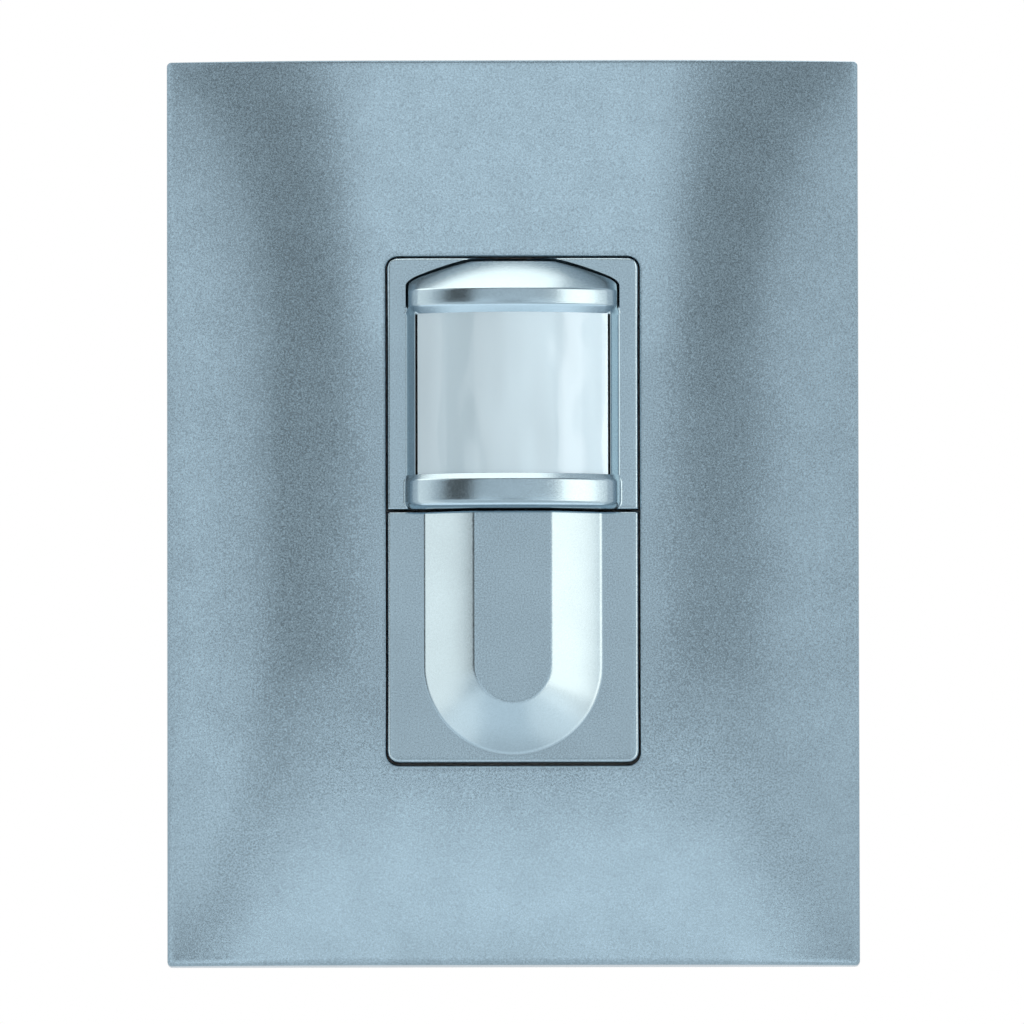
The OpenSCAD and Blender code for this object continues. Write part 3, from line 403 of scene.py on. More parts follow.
def plate_hooks(shell):
    """The four snap hooks that catch behind the frame's deck."""
    leg_gap = 3.2
    thick = 1.2
    barb = 0.7
    wide = 5
    middle = 22
    catch = 1.7
    tip = 0.4
    leg = window_w / 2 + leg_gap
    root = plate_z(leg + thick, middle + wide / 2) - plate_wall / 2
    section = [
        (leg, tip), (leg, root), (leg + thick, root), (leg + thick, catch), (leg + thick + barb, catch),
        (leg + thick, tip),
    ]
    for side in (-1, 1):
        for y in (-middle, middle):
            ends = [y - wide / 2, y + wide / 2]
            shell.tube([[(side * x, end, z) for x, z in section] for end in ends])


def make_plate():
    """The cover plate: a pillow-shaped shell with a soft lip round its window, a skirt and hooks."""
    front_steps = 44
    back_steps = 12
    skirt_steps = 4
    wall_steps = 3
    round_steps = 6
    lean_h = plate_h - 2 * plate_lean
    inner = round_window(0)
    lip = round_window(window_lip)
    collar = round_window(collar_wall)
    brow = outline(plate_w - 2 * plate_soft, lean_h - 2 * plate_soft, plate_corner)
    edge = outline(plate_w, lean_h, plate_corner)
    foot = outline(plate_w, plate_h, plate_corner)
    inside = outline(plate_w - 2 * plate_wall, lean_h - 2 * plate_wall, plate_corner)
    quarter = np.linspace(0, math.pi / 2, round_steps + 1)[1:]

    rings = [at_level(inner, collar_z)]
    rings += blend(rings[0], on_plate(inner, window_lip), wall_steps)
    for a in quarter:
        rings.append(on_plate(inner + (lip - inner) * (1 - math.cos(a)), window_lip * (1 - math.sin(a))))
    rings += [on_plate(ring, 0) for ring in blend(lip, brow, front_steps)]
    for a in quarter:
        rings.append(on_plate(brow + (edge - brow) * math.sin(a), plate_soft * (1 - math.cos(a))))
    rings += blend(rings[-1], at_level(foot, 0), skirt_steps)
    rings.append(at_level(inside, 0))
    rings += blend(rings[-1], on_plate(inside, plate_wall), skirt_steps)
    rings += [on_plate(ring, plate_wall) for ring in blend(inside, collar, back_steps)]
    rings.append(at_level(collar, collar_z))

    rings = np.array(rings)
    fade = smooth_step(part_way(rings[..., 1], smooth_from, smooth_to))
    shell = Shell()
    shell.grid(rings, grain=1 - smooth_share * fade, wrap_rows=True, wrap_columns=True)
    plate_hooks(shell)
    return shell.piece("plate_cover", "case", "wall_plate", "plate_paint")


# Bezel and its lens

def band_crown(y, low, high):
    """How far a slightly bulging band lies below its crown."""
    return band_bulge * (1 - mid_bulge(part_way(y, low, high)))


def band_radius(y):
    """Radius of the head about its axis, at each height up the wall."""
    y = np.asarray(y, float)
    edge_r = head_r - band_bulge
    bullnose = soft_drop(y - bezel_low, band_round)
    radius = head_r - band_crown(y, bezel_low, slope_foot) - bullnose
    radius = np.where(y > slope_foot, edge_r - slope_drop * (y - slope_foot) / slope_h, radius)
    radius = np.where(y > (lens_low + lens_top) / 2, edge_r - (upper_low - y), radius)
    radius = np.where(y > upper_low, head_r - band_crown(y, upper_low, dome_foot), radius)
    rise = part_way(y, dome_foot, dome_foot + dome_h)
    dome = edge_r - (head_rise - band_bulge - dome_lift) * rise + dome_bulge * mid_bulge(rise)
    return np.where(y > dome_foot, dome, radius)


def head_reach(y):
    """Half width of the head at each height: straight sides, then shoulders and the dome's arch."""
    shoulder = 1.6
    least_arch = 0.02
    pitch = dome_h / head_rise
    face_r = head_r - head_rise
    arch_r = np.maximum(head_r - (np.asarray(y, float) - dome_foot) / pitch, face_r + least_arch)
    arch = np.sqrt(arch_r**2 - face_r**2)
    mix = np.clip(0.5 + 0.5 * (arch - head_half) / shoulder, 0, 1)
    low_corner = soft_drop(y - bezel_low, band_corner)
    return arch * (1 - mix) + head_half * mix - shoulder * mix * (1 - mix) - low_corner


def square_on(y):
    """Share of a level distance that counts square to the head's outline."""
    nudge = 0.01
    slant = (head_reach(y + nudge) - head_reach(y - nudge)) / (2 * nudge)
    return 1 / np.sqrt(1 + slant**2)


def head_height(x, y):
    """Height of the bands and the dome, rounded at their outline."""
    least_square = 1
    radius = softened(band_radius, y, crease)
    across = square_on(y)
    edge_r = arch_round + (end_round - arch_round) * across
    inward = (head_reach(y) - np.abs(x)) * across
    top = head_axis + np.sqrt(np.maximum(radius**2 - x**2, least_square))
    return top - soft_drop(inward, edge_r)


def cheek_height(x):
    """Height of the cheeks, which slope up to the lens."""
    edge_z = head_axis + math.sqrt((head_r - lens_recess) ** 2 - lens_half**2)
    slope = (edge_z - face_z) / (cheek_foot - cheek_top)
    return np.minimum(edge_z, face_z + np.maximum(0, cheek_foot - np.abs(x)) * slope)


def bezel_grid():
    """Columns and rows of the bezel's grid, closer together where its front bends."""
    lens_step = 0.03
    half = stations(
        [0, cavity_half, cheek_top, head_half, wall_foot, flat_start, flat_end, front_half],
        [44, 4, 16, 1, 7, 6, 8],
    )
    rows = stations(
        [
            bezel_low, bezel_low + band_round, slope_foot, lens_low, lens_low + lens_step,
            lens_top - lens_step, lens_top, upper_low, dome_foot, bezel_top - front_soft, bezel_top,
        ],
        [12, 12, 14, 1, 26, 1, 14, 12, 84, 8],
    )
    return np.concatenate([-half[:0:-1], half]), rows


def bezel_x(columns, y):
    """The grid's columns, moved to follow the head's outline and the seam beside it."""
    size = np.abs(columns)
    widen = 1 + seam_growth * part_way(y, dome_foot, bezel_top)
    widen = np.where(y > dome_foot, widen / np.maximum(square_on(y), seam_lean), 1)
    drawn_in = smooth_step(part_way(y, lens_top, lens_top + seam_start))
    reach = head_reach(y) - (flat_start - head_half) * widen * drawn_in
    start = reach + (np.minimum(size, flat_start) - head_half) * widen
    beside = start + (flat_end - start) * part_way(size, flat_start, flat_end)
    off_head = np.where(size < flat_end, beside, size)
    return np.sign(columns) * np.where(size <= head_half, size * reach / head_half, off_head)


def head_side(size, y, z):
    """Height beside the head: a fillet along the straight sides, and the seam from the lens's top up."""
    at_side = np.abs(size - head_half) < TINY
    wall_h = np.max(np.where(at_side, z - face_z, 0), axis=1, keepdims=True)
    foot_h = fillet * np.clip(wall_h / (2 * fillet), 0, 1)
    along = part_way(size, wall_foot, flat_start)
    rise = foot_h * (1 - np.sqrt(1 - (1 - along) ** 2))
    seam = part_way(y, lens_top + seam_start, lens_top + 2 * seam_start)
    return np.maximum(z, face_z + rise) * (1 - seam) + (face_z - seam_depth * (1 - along)) * seam


def bezel_z(size, x, y):
    """Height of the bezel's front, for points whose columns were at a size from the middle."""
    on_head = size <= head_half
    base = np.full_like(x, face_z)
    in_lens = (y > lens_low) & (y < lens_top)
    head = np.where(in_lens, base, np.maximum(base, head_height(x, y)))
    beside_lens = (y > band_top) & (y < upper_low) & (size <= flat_start)
    cheek = np.where(beside_lens, softened(cheek_height, x, crease), base)
    z = np.where(on_head, np.maximum(head, cheek), np.maximum(base, cheek))
    in_fillet = (size >= wall_foot - TINY) & (size <= flat_start)
    z = np.where(in_fillet, head_side(size, y, z), z)
    crest = part_way(y, bezel_top - crest_cut, bezel_top) ** crest_steep
    z = np.where(on_head, z + (seam_floor - z) * crest, z)
    edge_gap = np.minimum(np.minimum(front_half - np.abs(x), bezel_top - y), y - bezel_low)
    z = z - np.where(on_head, 0, soft_drop(edge_gap, front_soft))
    return np.maximum(z, seam_floor)


def round_corner(x, y):
    """Pulls the two upper corners of the bezel's grid in to quarter circles."""
    mid_x = front_half - front_corner
    mid_y = bezel_top - front_corner
    a = part_way(np.abs(x), mid_x, front_half)
    b = part_way(y, mid_y, bezel_top)
    inside = (a > 0) & (b > 0)
    new_x = np.sign(x) * (mid_x + front_corner * a * np.sqrt(1 - b * b / 2))
    new_y = mid_y + front_corner * b * np.sqrt(1 - a * a / 2)
    return np.where(inside, new_x, x), np.where(inside, new_y, y)


def make_bezel():
    """The upper half of the front: a flat field with the lantern-shaped sensor head on it."""
    columns, rows = bezel_grid()
    c, y = np.meshgrid(columns, rows)
    size = np.abs(c)
    x = bezel_x(c, y)
    z = bezel_z(size, x, y)
    x, y = round_corner(x, y)
    grain = np.where(size > head_half, GRAINED, SMOOTH)
    mid_c = (size[:-1, :-1] + size[1:, 1:]) / 2
    mid_y = (rows[:-1] + rows[1:])[:, None] / 2
    opening = (mid_c < cavity_half) & (mid_y > lens_low) & (mid_y < lens_top)
    shell = Shell()
    closed_slab(shell, x, y, z, np.full_like(z, bezel_back), grain, ~opening)
    return shell.piece("sensor_head", "case", "sensor_bezel", "front_paint")


def make_lens():
    """A curved shell with a soft rim, behind the bands."""
    lap = 0.3
    rim = 0.12
    row_count = 25
    radius = head_r - lens_recess
    half_turn = math.asin(lens_half / radius)
    rim_turn = half_turn - rim / radius
    turns = stations([-half_turn, -rim_turn, rim_turn, half_turn], [3, 90, 3])
    heights = np.linspace(lens_low - lap, lens_top + lap, row_count)
    turn, y = np.meshgrid(turns, heights)
    outer_r = radius - soft_drop((half_turn - np.abs(turn)) * radius, rim)
    inner_r = np.full_like(outer_r, radius - lens_t)

    def place(r):
        return np.stack([r * np.sin(turn), y, head_axis + r * np.cos(turn)], axis=-1)

    shell = Shell()
    shell.tube(np.concatenate([place(outer_r), place(inner_r)[:, ::-1]], axis=1))
    return shell.piece("lens_shell", "case", "fresnel_lens", "lens_plastic")


# Push pad and its spring

def u_profile(distance):
    """Height of the pad's front at a distance from the middle line of its raised U."""
    t = part_way(distance, tongue_r, u_r)
    return tongue_z + (face_z - tongue_z) * t + u_bulge * mid_bulge(t)


def hollow_profile(distance):
    """Height of the pad's back at a distance from the same line."""
    t = part_way(distance, tongue_r, u_r - u_foot_wall)
    return (tongue_z - pad_wall) * (1 - t) + pad_back * t


def legs_and_end(half, end, leg):
    """One path: down a straight left leg, round an end, and up the right leg."""
    left = np.column_stack([np.full_like(leg, -half), leg])
    right = left[::-1] * (-1, 1)
    return np.concatenate([left, end[1:-1], right])


def u_path(distance, leg, bow):
    """Points at one distance from the middle line of the U."""
    end = np.column_stack([distance * np.cos(bow), u_y + distance * np.sin(bow)])
    return legs_and_end(distance, end, leg)


def pad_edge(inset, leg, bow):
    """The pad's outline, drawn in by an inset, with a point for each point of u_path."""
    half = front_half - inset
    low = pad_low + inset
    corner = front_corner - inset
    cos = np.cos(bow)
    sin = np.sin(bow)
    far = np.minimum(half / np.maximum(np.abs(cos), TINY), (u_y - low) / np.maximum(-sin, TINY))
    middle_x = np.sign(cos) * (half - corner)
    middle_y = low + corner - u_y
    along = cos * middle_x + sin * middle_y
    aside = middle_x**2 + middle_y**2 - corner**2
    hit = along + np.sqrt(np.maximum(along**2 - aside, 0))
    in_corner = (np.abs(far * cos) > half - corner) & (far * sin < middle_y)
    far = np.where(in_corner, hit, far)
    end = np.column_stack([far * cos, u_y + far * sin])
    return legs_and_end(half, end, leg)


def make_pad():
    """The lower half of the front: a pad with soft edges and a raised U, hollow behind the U."""
    end_soft = 0.3
    soft_steps = 6
    field_steps = 8
    bow_steps = 120
    leg = stations([pad_top, pad_top - end_soft, pad_top - pad_wall, u_y], [7, 5, 26])
    bow = np.linspace(math.pi, 2 * math.pi, bow_steps + 1)
    foot = u_r + 2 * u_crease
    insets = front_soft * (1 - np.cos(np.linspace(0, math.pi / 2, soft_steps + 1)))
    inward = stations(
        [foot, u_r - 2 * u_crease, tongue_r + 2 * u_crease, tongue_r - 2 * u_crease, 0],
        [12, 26, 14, 12],
    )

    paths = [pad_edge(inset, leg, bow) for inset in insets]
    heights = [face_z - soft_drop(inset, front_soft) for inset in insets]
    field = blend(paths[-1], u_path(foot, leg, bow), field_steps)[:-1]
    paths += field
    heights += [face_z] * len(field)
    hollows = [pad_back] * len(paths)
    for distance in inward:
        paths.append(u_path(distance, leg, bow))
        heights.append(softened(u_profile, distance, u_crease))
        hollows.append(hollow_profile(distance))

    x, y = np.moveaxis(np.array(paths), -1, 0)
    front = np.array(heights)[:, None] - soft_drop(pad_top - y, end_soft)
    near_top = y > pad_top - pad_wall + TINY
    back = np.where(near_top, pad_back, np.array(hollows)[:, None])
    on_slope = np.zeros(len(paths), bool)
    on_slope[-len(inward):] = (inward > tongue_r) & (inward < foot)
    grain = np.where(on_slope, SMOOTH, GRAINED)[:, None] + np.zeros_like(x)
    shell = Shell()
    open_slab(shell, x, y, front, back, grain)
    pad_fittings(shell)
    return shell.piece("pad_cover", "pad", "push_pad", "front_paint")


def pad_fittings(shell):
    """The rib over the switch, the spring's seat, and the two ears with their hinge pins."""
    up = (0, 0, 1)
    rib_r = 1.2
    rib_gap = 0.1
    rib_lap = 0.3
    boss_r = 3.2
    boss_gap = 0.1
    peg_r = 1.6
    peg_h = 1
    peg_out = 0.8
    ear_r = 1.6
    ear_t = 1.5
    ear_inset = 3.5
    pin_r = 0.8
    pin_l = 1.7
    pin_lap = 0.1
    web_lap = 0.2
    stem_y = (stem_low.y + stem_high.y) / 2
    rib_low = stem_high.z + rib_gap
    rib_top = tongue_z - pad_wall + rib_lap
    boss_low = spring_box_high.z + boss_gap
    boss_top = tongue_z - 2 * pad_wall
    shell.cylinder((0, stem_y, rib_low), up, rib_top - rib_low, rib_r)
    shell.cylinder((0, spring_y, boss_low), up, boss_top - boss_low, boss_r)
    shell.cylinder((0, spring_y, boss_low - peg_out), up, peg_h, peg_r)
    ear_out = window_w / 2 - ear_inset
    web_top = pad_back + web_lap
    web = [(-ear_r, pivot_z), (ear_r, pivot_z), (ear_r, web_top), (-ear_r, web_top)]
    for side in (-1, 1):
        outward = (side, 0, 0)
        inner = side * (ear_out - ear_t)
        pin_start = side * (ear_out - pin_lap)
        shell.cylinder((inner, pivot_y, pivot_z), outward, ear_t, ear_r)
        shell.cylinder((pin_start, pivot_y, pivot_z), outward, pin_l + pin_lap, pin_r)
        shell.tube([[(x, pivot_y + a, z) for a, z in web] for x in (inner, side * ear_out)])


def make_spring():
    """Coil spring: one round wire along a helix, drawn at one length; the real spring shortens as the pad goes in.
    """
    turn_steps = 24
    wire_sides = 10
    low = spring_box_low.z + spring_wire
    high = spring_box_high.z - spring_wire
    turn = np.linspace(0, 2 * math.pi * spring_turns, turn_steps * spring_turns + 1)[:, None]
    ring = np.linspace(0, 2 * math.pi, wire_sides, endpoint=False)[None, :]
    radius = spring_r + spring_wire * np.cos(ring)
    x = radius * np.cos(turn)
    y = spring_y + radius * np.sin(turn)
    z = low + (high - low) * turn / turn[-1] + spring_wire * np.sin(ring)
    shell = Shell()
    shell.tube(np.stack([x, y, z], axis=-1))
    spring = shell.piece("spring_coil", "case", "pad_spring", "spring_steel")
    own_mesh(spring)
    return spring


# Materials

PAINT = (0.283, 0.393, 0.468)
MILK = (0.605, 0.755, 0.83)
BARE = (0.46, 0.47, 0.48)
METALS = ("brushed_steel", "brass")
ROUGHNESS = {
    "matte_plastic": 0.5,
    "gloss_plastic": 0.22,
    "ceramic": 0.45,
    "brushed_steel": 0.32,
    "brass": 0.28,
}

# Values between which nearly all noise lies
NOISE_LOW = 0.3
NOISE_HIGH = 0.7

# Sockets of a Mix node that mixes colours
MIX_SHARE = 0
MIX_FIRST = 6
MIX_SECOND = 7
MIX_RESULT = 2


def graph(name):
    """A new material, its node tree and its Principled shader."""
    material = bpy.data.materials.new(name)
    material.use_nodes = True
    tree = material.node_tree
    return material, tree, tree.nodes["Principled BSDF"]


def set_inputs(node, values):
    """Sets the constants on a node's own sockets."""
    for key, value in values.items():
        node.inputs[key].default_value = value


def add_node(tree, kind, values=None, **settings):
    """A new node with its settings and the constants on its sockets."""
    node = tree.nodes.new(kind)
    for key, value in settings.items():
        setattr(node, key, value)
    set_inputs(node, values or {})
    return node


def noise(tree, size_mm, detail, stretch=(1, 1, 1)):
    """Noise whose grain is about so many millimetres, fixed to the piece."""
    place = add_node(tree, "ShaderNodeTexCoord")
    mapping = add_node(tree, "ShaderNodeMapping", {"Scale": stretch})
    texture = add_node(tree, "ShaderNodeTexNoise", {"Scale": 1 / (size_mm * MM), "Detail": detail})
    tree.links.new(place.outputs["Object"], mapping.inputs["Vector"])
    tree.links.new(mapping.outputs["Vector"], texture.inputs["Vector"])
    return texture.outputs["Fac"]


def map_range(tree, value, start, end, low, high):
    """A value that runs from start to end, made to run from low to high."""
    limits = {"From Min": start, "From Max": end, "To Min": low, "To Max": high}
    node = add_node(tree, "ShaderNodeMapRange", limits)
    tree.links.new(value, node.inputs["Value"])
    return node.outputs["Result"]


def remap(tree, value, low, high):
    """Noise, spread from low to high."""
    return map_range(tree, value, NOISE_LOW, NOISE_HIGH, low, high)


def tint(tree, color, share, spread):
    """A colour that varies in lightness with a value, by a spread on each side."""
    ramp = add_node(tree, "ShaderNodeMix", data_type="RGBA")
    ramp.inputs[MIX_FIRST].default_value = [c * (1 - spread) for c in color[:3]] + [1]
    ramp.inputs[MIX_SECOND].default_value = [min(1, c * (1 + spread)) for c in color[:3]] + [1]
    tree.links.new(share, ramp.inputs[MIX_SHARE])
    return ramp.outputs[MIX_RESULT]


def bump(tree, shader, height, depth_mm, strength=1.0):
    """Gives a shader a relief of so many millimetres, in a share of its strength."""
    node = add_node(tree, "ShaderNodeBump", {"Strength": strength, "Distance": depth_mm * MM})
    tree.links.new(height, node.inputs["Height"])
    tree.links.new(node.outputs["Normal"], shader.inputs["Normal"])


def uneven_roughness(tree, shader, share, roughness, spread):
    """Gives a shader a roughness that varies with noise, by a spread on each side."""
    level = remap(tree, share, roughness - spread, roughness + spread)
    tree.links.new(level, shader.inputs["Roughness"])


def bare_share(tree):
    """1 on faces that look to the wall, where the plastic has no paint."""
    paint_end = 0.3
    bare_start = 0.6
    place = add_node(tree, "ShaderNodeTexCoord")
    split = add_node(tree, "ShaderNodeSeparateXYZ")
    tree.links.new(place.outputs["Normal"], split.inputs[0])
    return map_range(tree, split.outputs["Y"], paint_end, bare_start, 0, 1)


def silver_paint(name, roughness, sparkle):
    """Metallic paint on moulded plastic: a sandy flake, and a fine grain where the mould has one."""
    metal_share = 0.92
    sand_mm = 0.2
    cloud_mm = 6
    cloudiness = 0.08
    pit_mm = 0.26
    pit_depth = 0.006
    material, tree, shader = graph(name)
    bare = bare_share(tree)
    tree.links.new(map_range(tree, bare, 0, 1, metal_share, 0), shader.inputs["Metallic"])
    grained = add_node(tree, "ShaderNodeAttribute", attribute_name="grain")
    sand = noise(tree, sand_mm, detail=2)
    cloud = noise(tree, cloud_mm, detail=2)
    share = add_node(tree, "ShaderNodeMath", operation="MULTIPLY_ADD")
    tree.links.new(remap(tree, sand, -0.5, 0.5), share.inputs[0])
    tree.links.new(grained.outputs["Fac"], share.inputs[1])
    tree.links.new(remap(tree, cloud, 0.5 - cloudiness, 0.5 + cloudiness), share.inputs[2])
    coat = add_node(tree, "ShaderNodeMix", data_type="RGBA")
    coat.inputs[MIX_SECOND].default_value = (*BARE, 1)
    tree.links.new(bare, coat.inputs[MIX_SHARE])
    tree.links.new(tint(tree, PAINT, share.outputs[0], sparkle), coat.inputs[MIX_FIRST])
    tree.links.new(coat.outputs[MIX_RESULT], shader.inputs["Base Color"])
    uneven_roughness(tree, shader, sand, roughness, 0.03)
    pits = add_node(tree, "ShaderNodeMath", operation="MULTIPLY")
    tree.links.new(noise(tree, pit_mm, detail=1), pits.inputs[0])
    tree.links.new(grained.outputs["Fac"], pits.inputs[1])
    bump(tree, shader, pits.outputs[0], pit_depth)
    return material


def milky_plastic(name):
    """Polished lens plastic that lets a little light in, with faint upright streaks and soft waves."""
    streak_mm = 4
    streak_spread = 0.05
    wave_mm = 7
    wave_depth = 0.8
    material, tree, shader = graph(name)
    set_inputs(shader, {
        "Roughness": 0.1,
        "IOR": 1.54,
        "Coat Weight": 0.7,
        "Coat Roughness": 0.04,
        "Subsurface Weight": 0.15,
        "Subsurface Radius": (0.002, 0.002, 0.002),
    })
    streak = remap(tree, noise(tree, streak_mm, detail=1, stretch=(1, 1, 0.12)), 0, 1)
    tree.links.new(tint(tree, MILK, streak, streak_spread), shader.inputs["Base Color"])
    bump(tree, shader, noise(tree, wave_mm, detail=1, stretch=(1, 1, 0.5)), wave_depth)
    return material


def moulded(name, color, roughness):
    """Plain moulded plastic, with a spark-eroded grain and slight flow marks."""
    grain_mm = 0.25
    grain_depth = 0.02
    flow_mm = 9
    flow_spread = 0.04
    material, tree, shader = graph(name)
    grain = noise(tree, grain_mm, detail=2)
    flow = remap(tree, noise(tree, flow_mm, detail=2, stretch=(1, 1, 0.4)), 0, 1)
    tree.links.new(tint(tree, color, flow, flow_spread), shader.inputs["Base Color"])
    uneven_roughness(tree, shader, grain, roughness, 0.06)
    bump(tree, shader, grain, grain_depth, 0.6)
    return material


def plated(name, color, roughness):
    """Plated or drawn metal with fine turning marks and a slightly cloudy tone."""
    mark_mm = 0.15
    mark_depth = 0.01
    cloud_mm = 2.5
    cloud_spread = 0.08
    material, tree, shader = graph(name)
    set_inputs(shader, {"Metallic": 1.0})
    marks = noise(tree, mark_mm, detail=3, stretch=(1, 0.15, 1))
    cloud = remap(tree, noise(tree, cloud_mm, detail=2), 0, 1)
    tree.links.new(tint(tree, color, cloud, cloud_spread), shader.inputs["Base Color"])
    uneven_roughness(tree, shader, marks, roughness, 0.08)
    bump(tree, shader, marks, mark_depth, 0.5)
    return material


def make_material(entry):
    """The material of one of the record's slots."""
    slot = entry["slot"]
    color = entry["base_color"]
    if slot == "plate_paint":
        return silver_paint(slot, roughness=0.24, sparkle=0.3)
    if slot == "front_paint":
        return silver_paint(slot, roughness=0.22, sparkle=0.19)
    if slot == "lens_plastic":
        return milky_plastic(slot)
    roughness = ROUGHNESS[entry["class"]]
    if entry["class"] in METALS:
        return plated(slot, color, roughness)
    return moulded(slot, color, roughness)


def dress(piece, material):
    """Gives a piece one material."""
    piece.data.materials.clear()
    piece.data.materials.append(material)


# Studio. The width of the picture at the plate and the point that the camera looks at are in
# millimetres, other distances in metres, and angles in degrees.

frame_width = 133.2
camera_target = (-0.12, -3, 0.14)
camera_distance = 2.5
camera_below = 3.3
camera_roll = 0.1
floor_z = -1.2
floor_size = 12
floor_glow = 0.45
ambient = 0.63
WHITE = (1, 1, 1)
FLOOR = (0.86, 0.86, 0.86)
WARM = (1, 0.83, 0.68)
PAD_WARM = (1, 0.79, 0.62)


def glow(name, strength):
    """A card's own even tone."""
    material = bpy.data.materials.new(name)
    material.use_nodes = True
    tree = material.node_tree
    tree.nodes.clear()
    light = add_node(tree, "ShaderNodeEmission", {"Color": (*WHITE, 1), "Strength": strength})
    out = add_node(tree, "ShaderNodeOutputMaterial")
    tree.links.new(light.outputs[0], out.inputs["Surface"])
    return material


def direction(azimuth, elevation):
    """Unit vector to a place round the front: azimuth to the right, elevation up, in degrees."""
    a = math.radians(azimuth)
    e = math.radians(elevation)
    return Vector((math.sin(a) * math.cos(e), -math.cos(a) * math.cos(e), math.sin(e)))


def studio_card(name, azimuths, elevations, distance, tone):
    """A curved card round the front, which the camera doesn't see but polished faces do."""
    steps = 12
    wide = steps + 1
    points = [
        direction(a, e) * distance
        for e in np.linspace(*elevations, wide) for a in np.linspace(*azimuths, wide)
    ]
    faces = [
        (j * wide + k, j * wide + k + 1, (j + 1) * wide + k + 1, (j + 1) * wide + k)
        for j in range(steps) for k in range(steps)
    ]
    mesh = bpy.data.meshes.new(name)
    mesh.from_pydata(points, [], faces)
    mesh.materials.append(glow(name, tone))
    card = bpy.data.objects.new(name, mesh)
    card.visible_camera = False
    card.visible_diffuse = False
    card.visible_shadow = False
    bpy.context.scene.collection.objects.link(card)


def softbox(name, at, size, radiance, lit=(), color=WHITE):
    """An area lamp that faces the object, at an azimuth, an elevation and a distance.

    lit limits its light to some pieces.
    """
    azimuth, elevation, distance = at
    width, height = size
    lamp = bpy.data.lights.new(name, "AREA")
    lamp.shape = "RECTANGLE"
    lamp.size = width
    lamp.size_y = height
    lamp.energy = radiance * math.pi * width * height
    lamp.color = color
    box = bpy.data.objects.new(name, lamp)
    way = direction(azimuth, elevation)
    box.location = way * distance
    box.rotation_mode = "QUATERNION"
    box.rotation_quaternion = way.to_track_quat("Z", "Y")
    bpy.context.scene.collection.objects.link(box)
    box.visible_camera = False
    if lit:
        receivers = bpy.data.collections.new(name)
        for piece in lit:
            receivers.objects.link(piece)
        box.light_linking.receiver_collection = receivers


def white_rays(tree):
    """1 for the rays that see the white studio: from the camera, off polish and through clear pieces."""
    path = add_node(tree, "ShaderNodeLightPath")
    seen = add_node(tree, "ShaderNodeMath", operation="MAXIMUM")
    seen_all = add_node(tree, "ShaderNodeMath", operation="MAXIMUM")
    tree.links.new(path.outputs["Is Camera Ray"], seen.inputs[0])
    tree.links.new(path.outputs["Is Glossy Ray"], seen.inputs[1])
    tree.links.new(seen.outputs[0], seen_all.inputs[0])
    tree.links.new(path.outputs["Is Transmission Ray"], seen_all.inputs[1])
    return seen_all.outputs[0]


def make_world():
    """White all round for the camera and for polished faces, and a plainer light for the rest."""
    world = bpy.data.worlds.new("studio")
    bpy.context.scene.world = world
    world.use_nodes = True
    tree = world.node_tree
    background = tree.nodes["Background"]
    set_inputs(background, {"Color": (*WHITE, 1)})
    level = map_range(tree, white_rays(tree), 0, 1, ambient, 1)
    tree.links.new(level, background.inputs["Strength"])


def make_floor():
    """A plain pale floor, well below the object on its wall."""
    speck_mm = 30
    speck_spread = 0.02
    mesh = bpy.data.meshes.new("floor")
    corners = [(x * floor_size, y * floor_size, floor_z) for x, y in ((-1, -1), (1, -1), (1, 1), (-1, 1))]
    mesh.from_pydata(corners, [], [(0, 1, 2, 3)])
    floor = bpy.data.objects.new("floor", mesh)
    bpy.context.scene.collection.objects.link(floor)
    material, tree, shader = graph("floor_paint")
    set_inputs(shader, {"Roughness": 0.8, "Emission Color": (*WHITE, 1)})
    speck = remap(tree, noise(tree, speck_mm, detail=4), 0, 1)
    tree.links.new(tint(tree, FLOOR, speck, speck_spread), shader.inputs["Base Color"])
    lift = map_range(tree, white_rays(tree), 0, 1, 0, floor_glow)
    tree.links.new(lift, shader.inputs["Emission Strength"])
    mesh.materials.append(material)


def make_camera():
    """Far off with a long lens, a little below the middle of the plate."""
    camera = bpy.data.objects.new("camera", bpy.data.cameras.new("camera"))
    target = Vector(camera_target) * MM
    back = direction(0, -camera_below)
    camera.location = target + back * camera_distance
    camera.rotation_mode = "QUATERNION"
    roll = Quaternion((0, 0, 1), math.radians(-camera_roll))
    camera.rotation_quaternion = back.to_track_quat("Z", "Y") @ roll
    camera.data.sensor_width = 36
    camera.data.lens = camera.data.sensor_width * camera_distance / (frame_width * MM)
    camera.data.clip_end = 100
    bpy.context.scene.collection.objects.link(camera)
    bpy.context.scene.camera = camera


# The switch in its studio

materials = {entry["slot"]: make_material(entry) for entry in frame["record"]["materials"]}
for part in frame["record"]["subparts"]:
    dress(frame["nodes"][part["node"]], materials[part["material_slot"]])

plate = make_plate()
bezel = make_bezel()
lens = make_lens()
pad = make_pad()
spring = make_spring()
dress(plate, materials["plate_paint"])
dress(bezel, materials["front_paint"])
dress(lens, materials["lens_plastic"])
dress(pad, materials["front_paint"])
dress(spring, materials["spring_steel"])

make_world()
make_floor()
make_camera()

studio_card("left_near_card", azimuths=(-26, -9), elevations=(0, 50), distance=0.7, tone=0.42)
studio_card("left_far_card", azimuths=(-44, -25), elevations=(-6, 50), distance=0.7, tone=0)
studio_card("right_card", azimuths=(9, 30), elevations=(0, 50), distance=0.7, tone=0.42)
studio_card("high_card", azimuths=(-70, 70), elevations=(50, 64), distance=0.7, tone=0.02)
studio_card("low_near_card", azimuths=(-34, 34), elevations=(-10.5, -5), distance=0.68, tone=0.5)

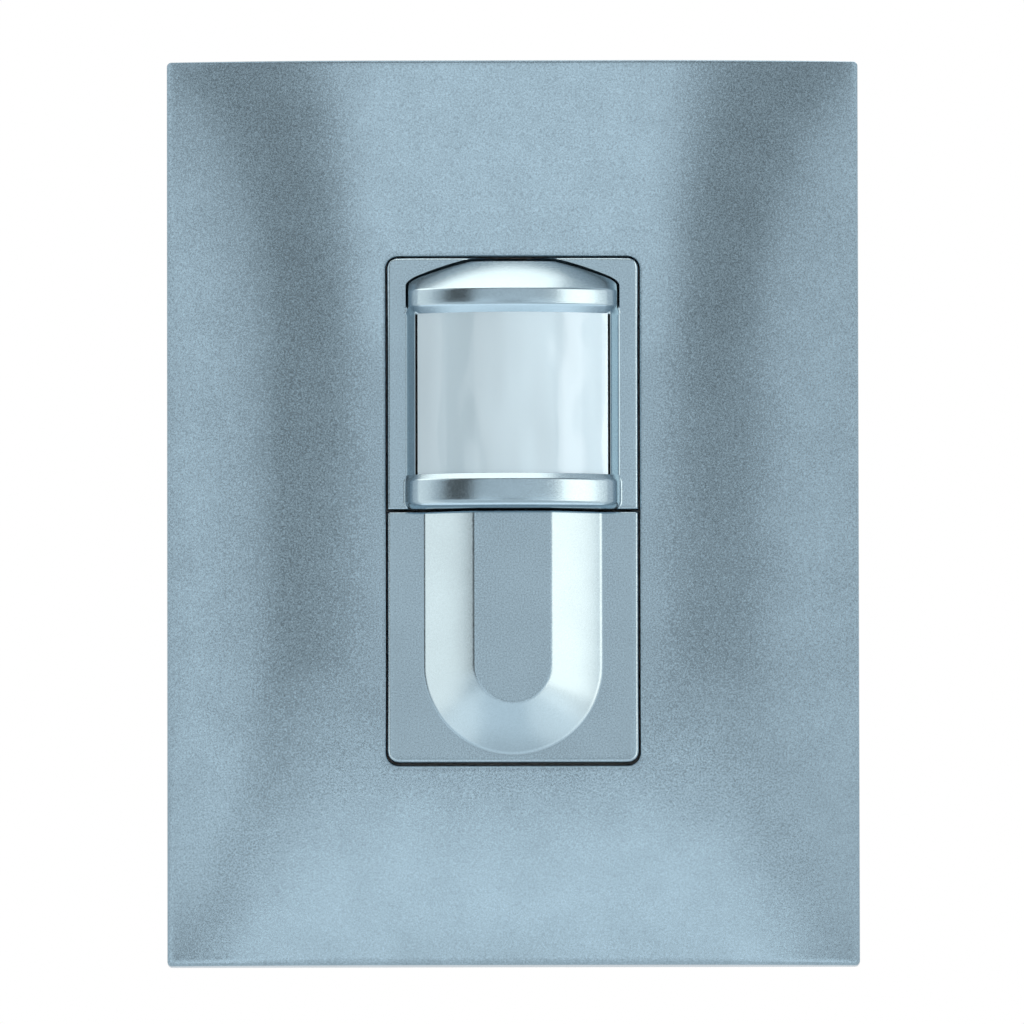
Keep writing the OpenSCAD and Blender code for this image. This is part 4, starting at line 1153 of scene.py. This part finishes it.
softbox("right_box", at=(41, 3, 1), size=(0.45, 1.1), radiance=2.8, lit=(bezel,), color=WARM)
softbox("right_key", at=(43.5, 6, 1), size=(0.56, 0.9), radiance=2.4, lit=(pad,), color=PAD_WARM)
softbox("right_mid", at=(43, -24, 1), size=(0.6, 0.25), radiance=1.0, lit=(pad,), color=PAD_WARM)
softbox("right_low", at=(40, -40, 1), size=(0.6, 0.36), radiance=0.45, lit=(pad,), color=PAD_WARM)
softbox("right_side", at=(64, -4, 1), size=(0.4, 1.4), radiance=0.7, lit=(bezel,), color=WARM)
softbox("left_box", at=(-60, 3, 1), size=(0.5, 1.1), radiance=1.45, lit=(pad,), color=PAD_WARM)
softbox("left_low", at=(-56, -38, 1), size=(0.6, 0.45), radiance=0.6, lit=(pad,), color=PAD_WARM)
softbox("left_side", at=(-65, -8, 1), size=(0.46, 1.7), radiance=0.9, lit=(bezel,), color=WARM)
softbox("left_near_fill", at=(-17, 11, 0.6), size=(0.17, 0.72), radiance=0.58, lit=(bezel, pad, lens))
softbox("right_near_fill", at=(18.5, 11, 0.6), size=(0.2, 0.72), radiance=0.58, lit=(bezel, pad, lens))
softbox("top_box", at=(-90, 72, 0.8), size=(0.7, 1.02), radiance=2.6, lit=(bezel, pad), color=WARM)
softbox("bezel_fill", at=(0, 3.5, 0.9), size=(0.16, 0.16), radiance=0.16, lit=(bezel,))
softbox("low_box", at=(0, -42, 0.5), size=(0.9, 0.22), radiance=0.4, lit=(pad,))
softbox("floor_box", at=(0, -88, 0.45), size=(0.8, 0.4), radiance=0.95, lit=(bezel,))
softbox("sky_strip", at=(0, 19, 1), size=(0.9, 0.35), radiance=0.5, lit=(plate,))
softbox("table_strip", at=(0, -13.8, 0.6), size=(1.1, 0.045), radiance=1.5, lit=(plate,))
softbox("left_fill", at=(-37, 20, 0.6), size=(0.19, 0.7), radiance=0.95, lit=(plate,))
softbox("lens_key", at=(78, 5, 0.8), size=(0.5, 0.9), radiance=2.3, lit=(lens,))
softbox("lens_strip", at=(39.5, 5, 0.7), size=(0.16, 0.9), radiance=1.7, lit=(lens,))
softbox("back_box", at=(150, 45, 1.2), size=(0.8, 0.8), radiance=1.2)

bpy.context.scene.view_settings.view_transform = "Standard"
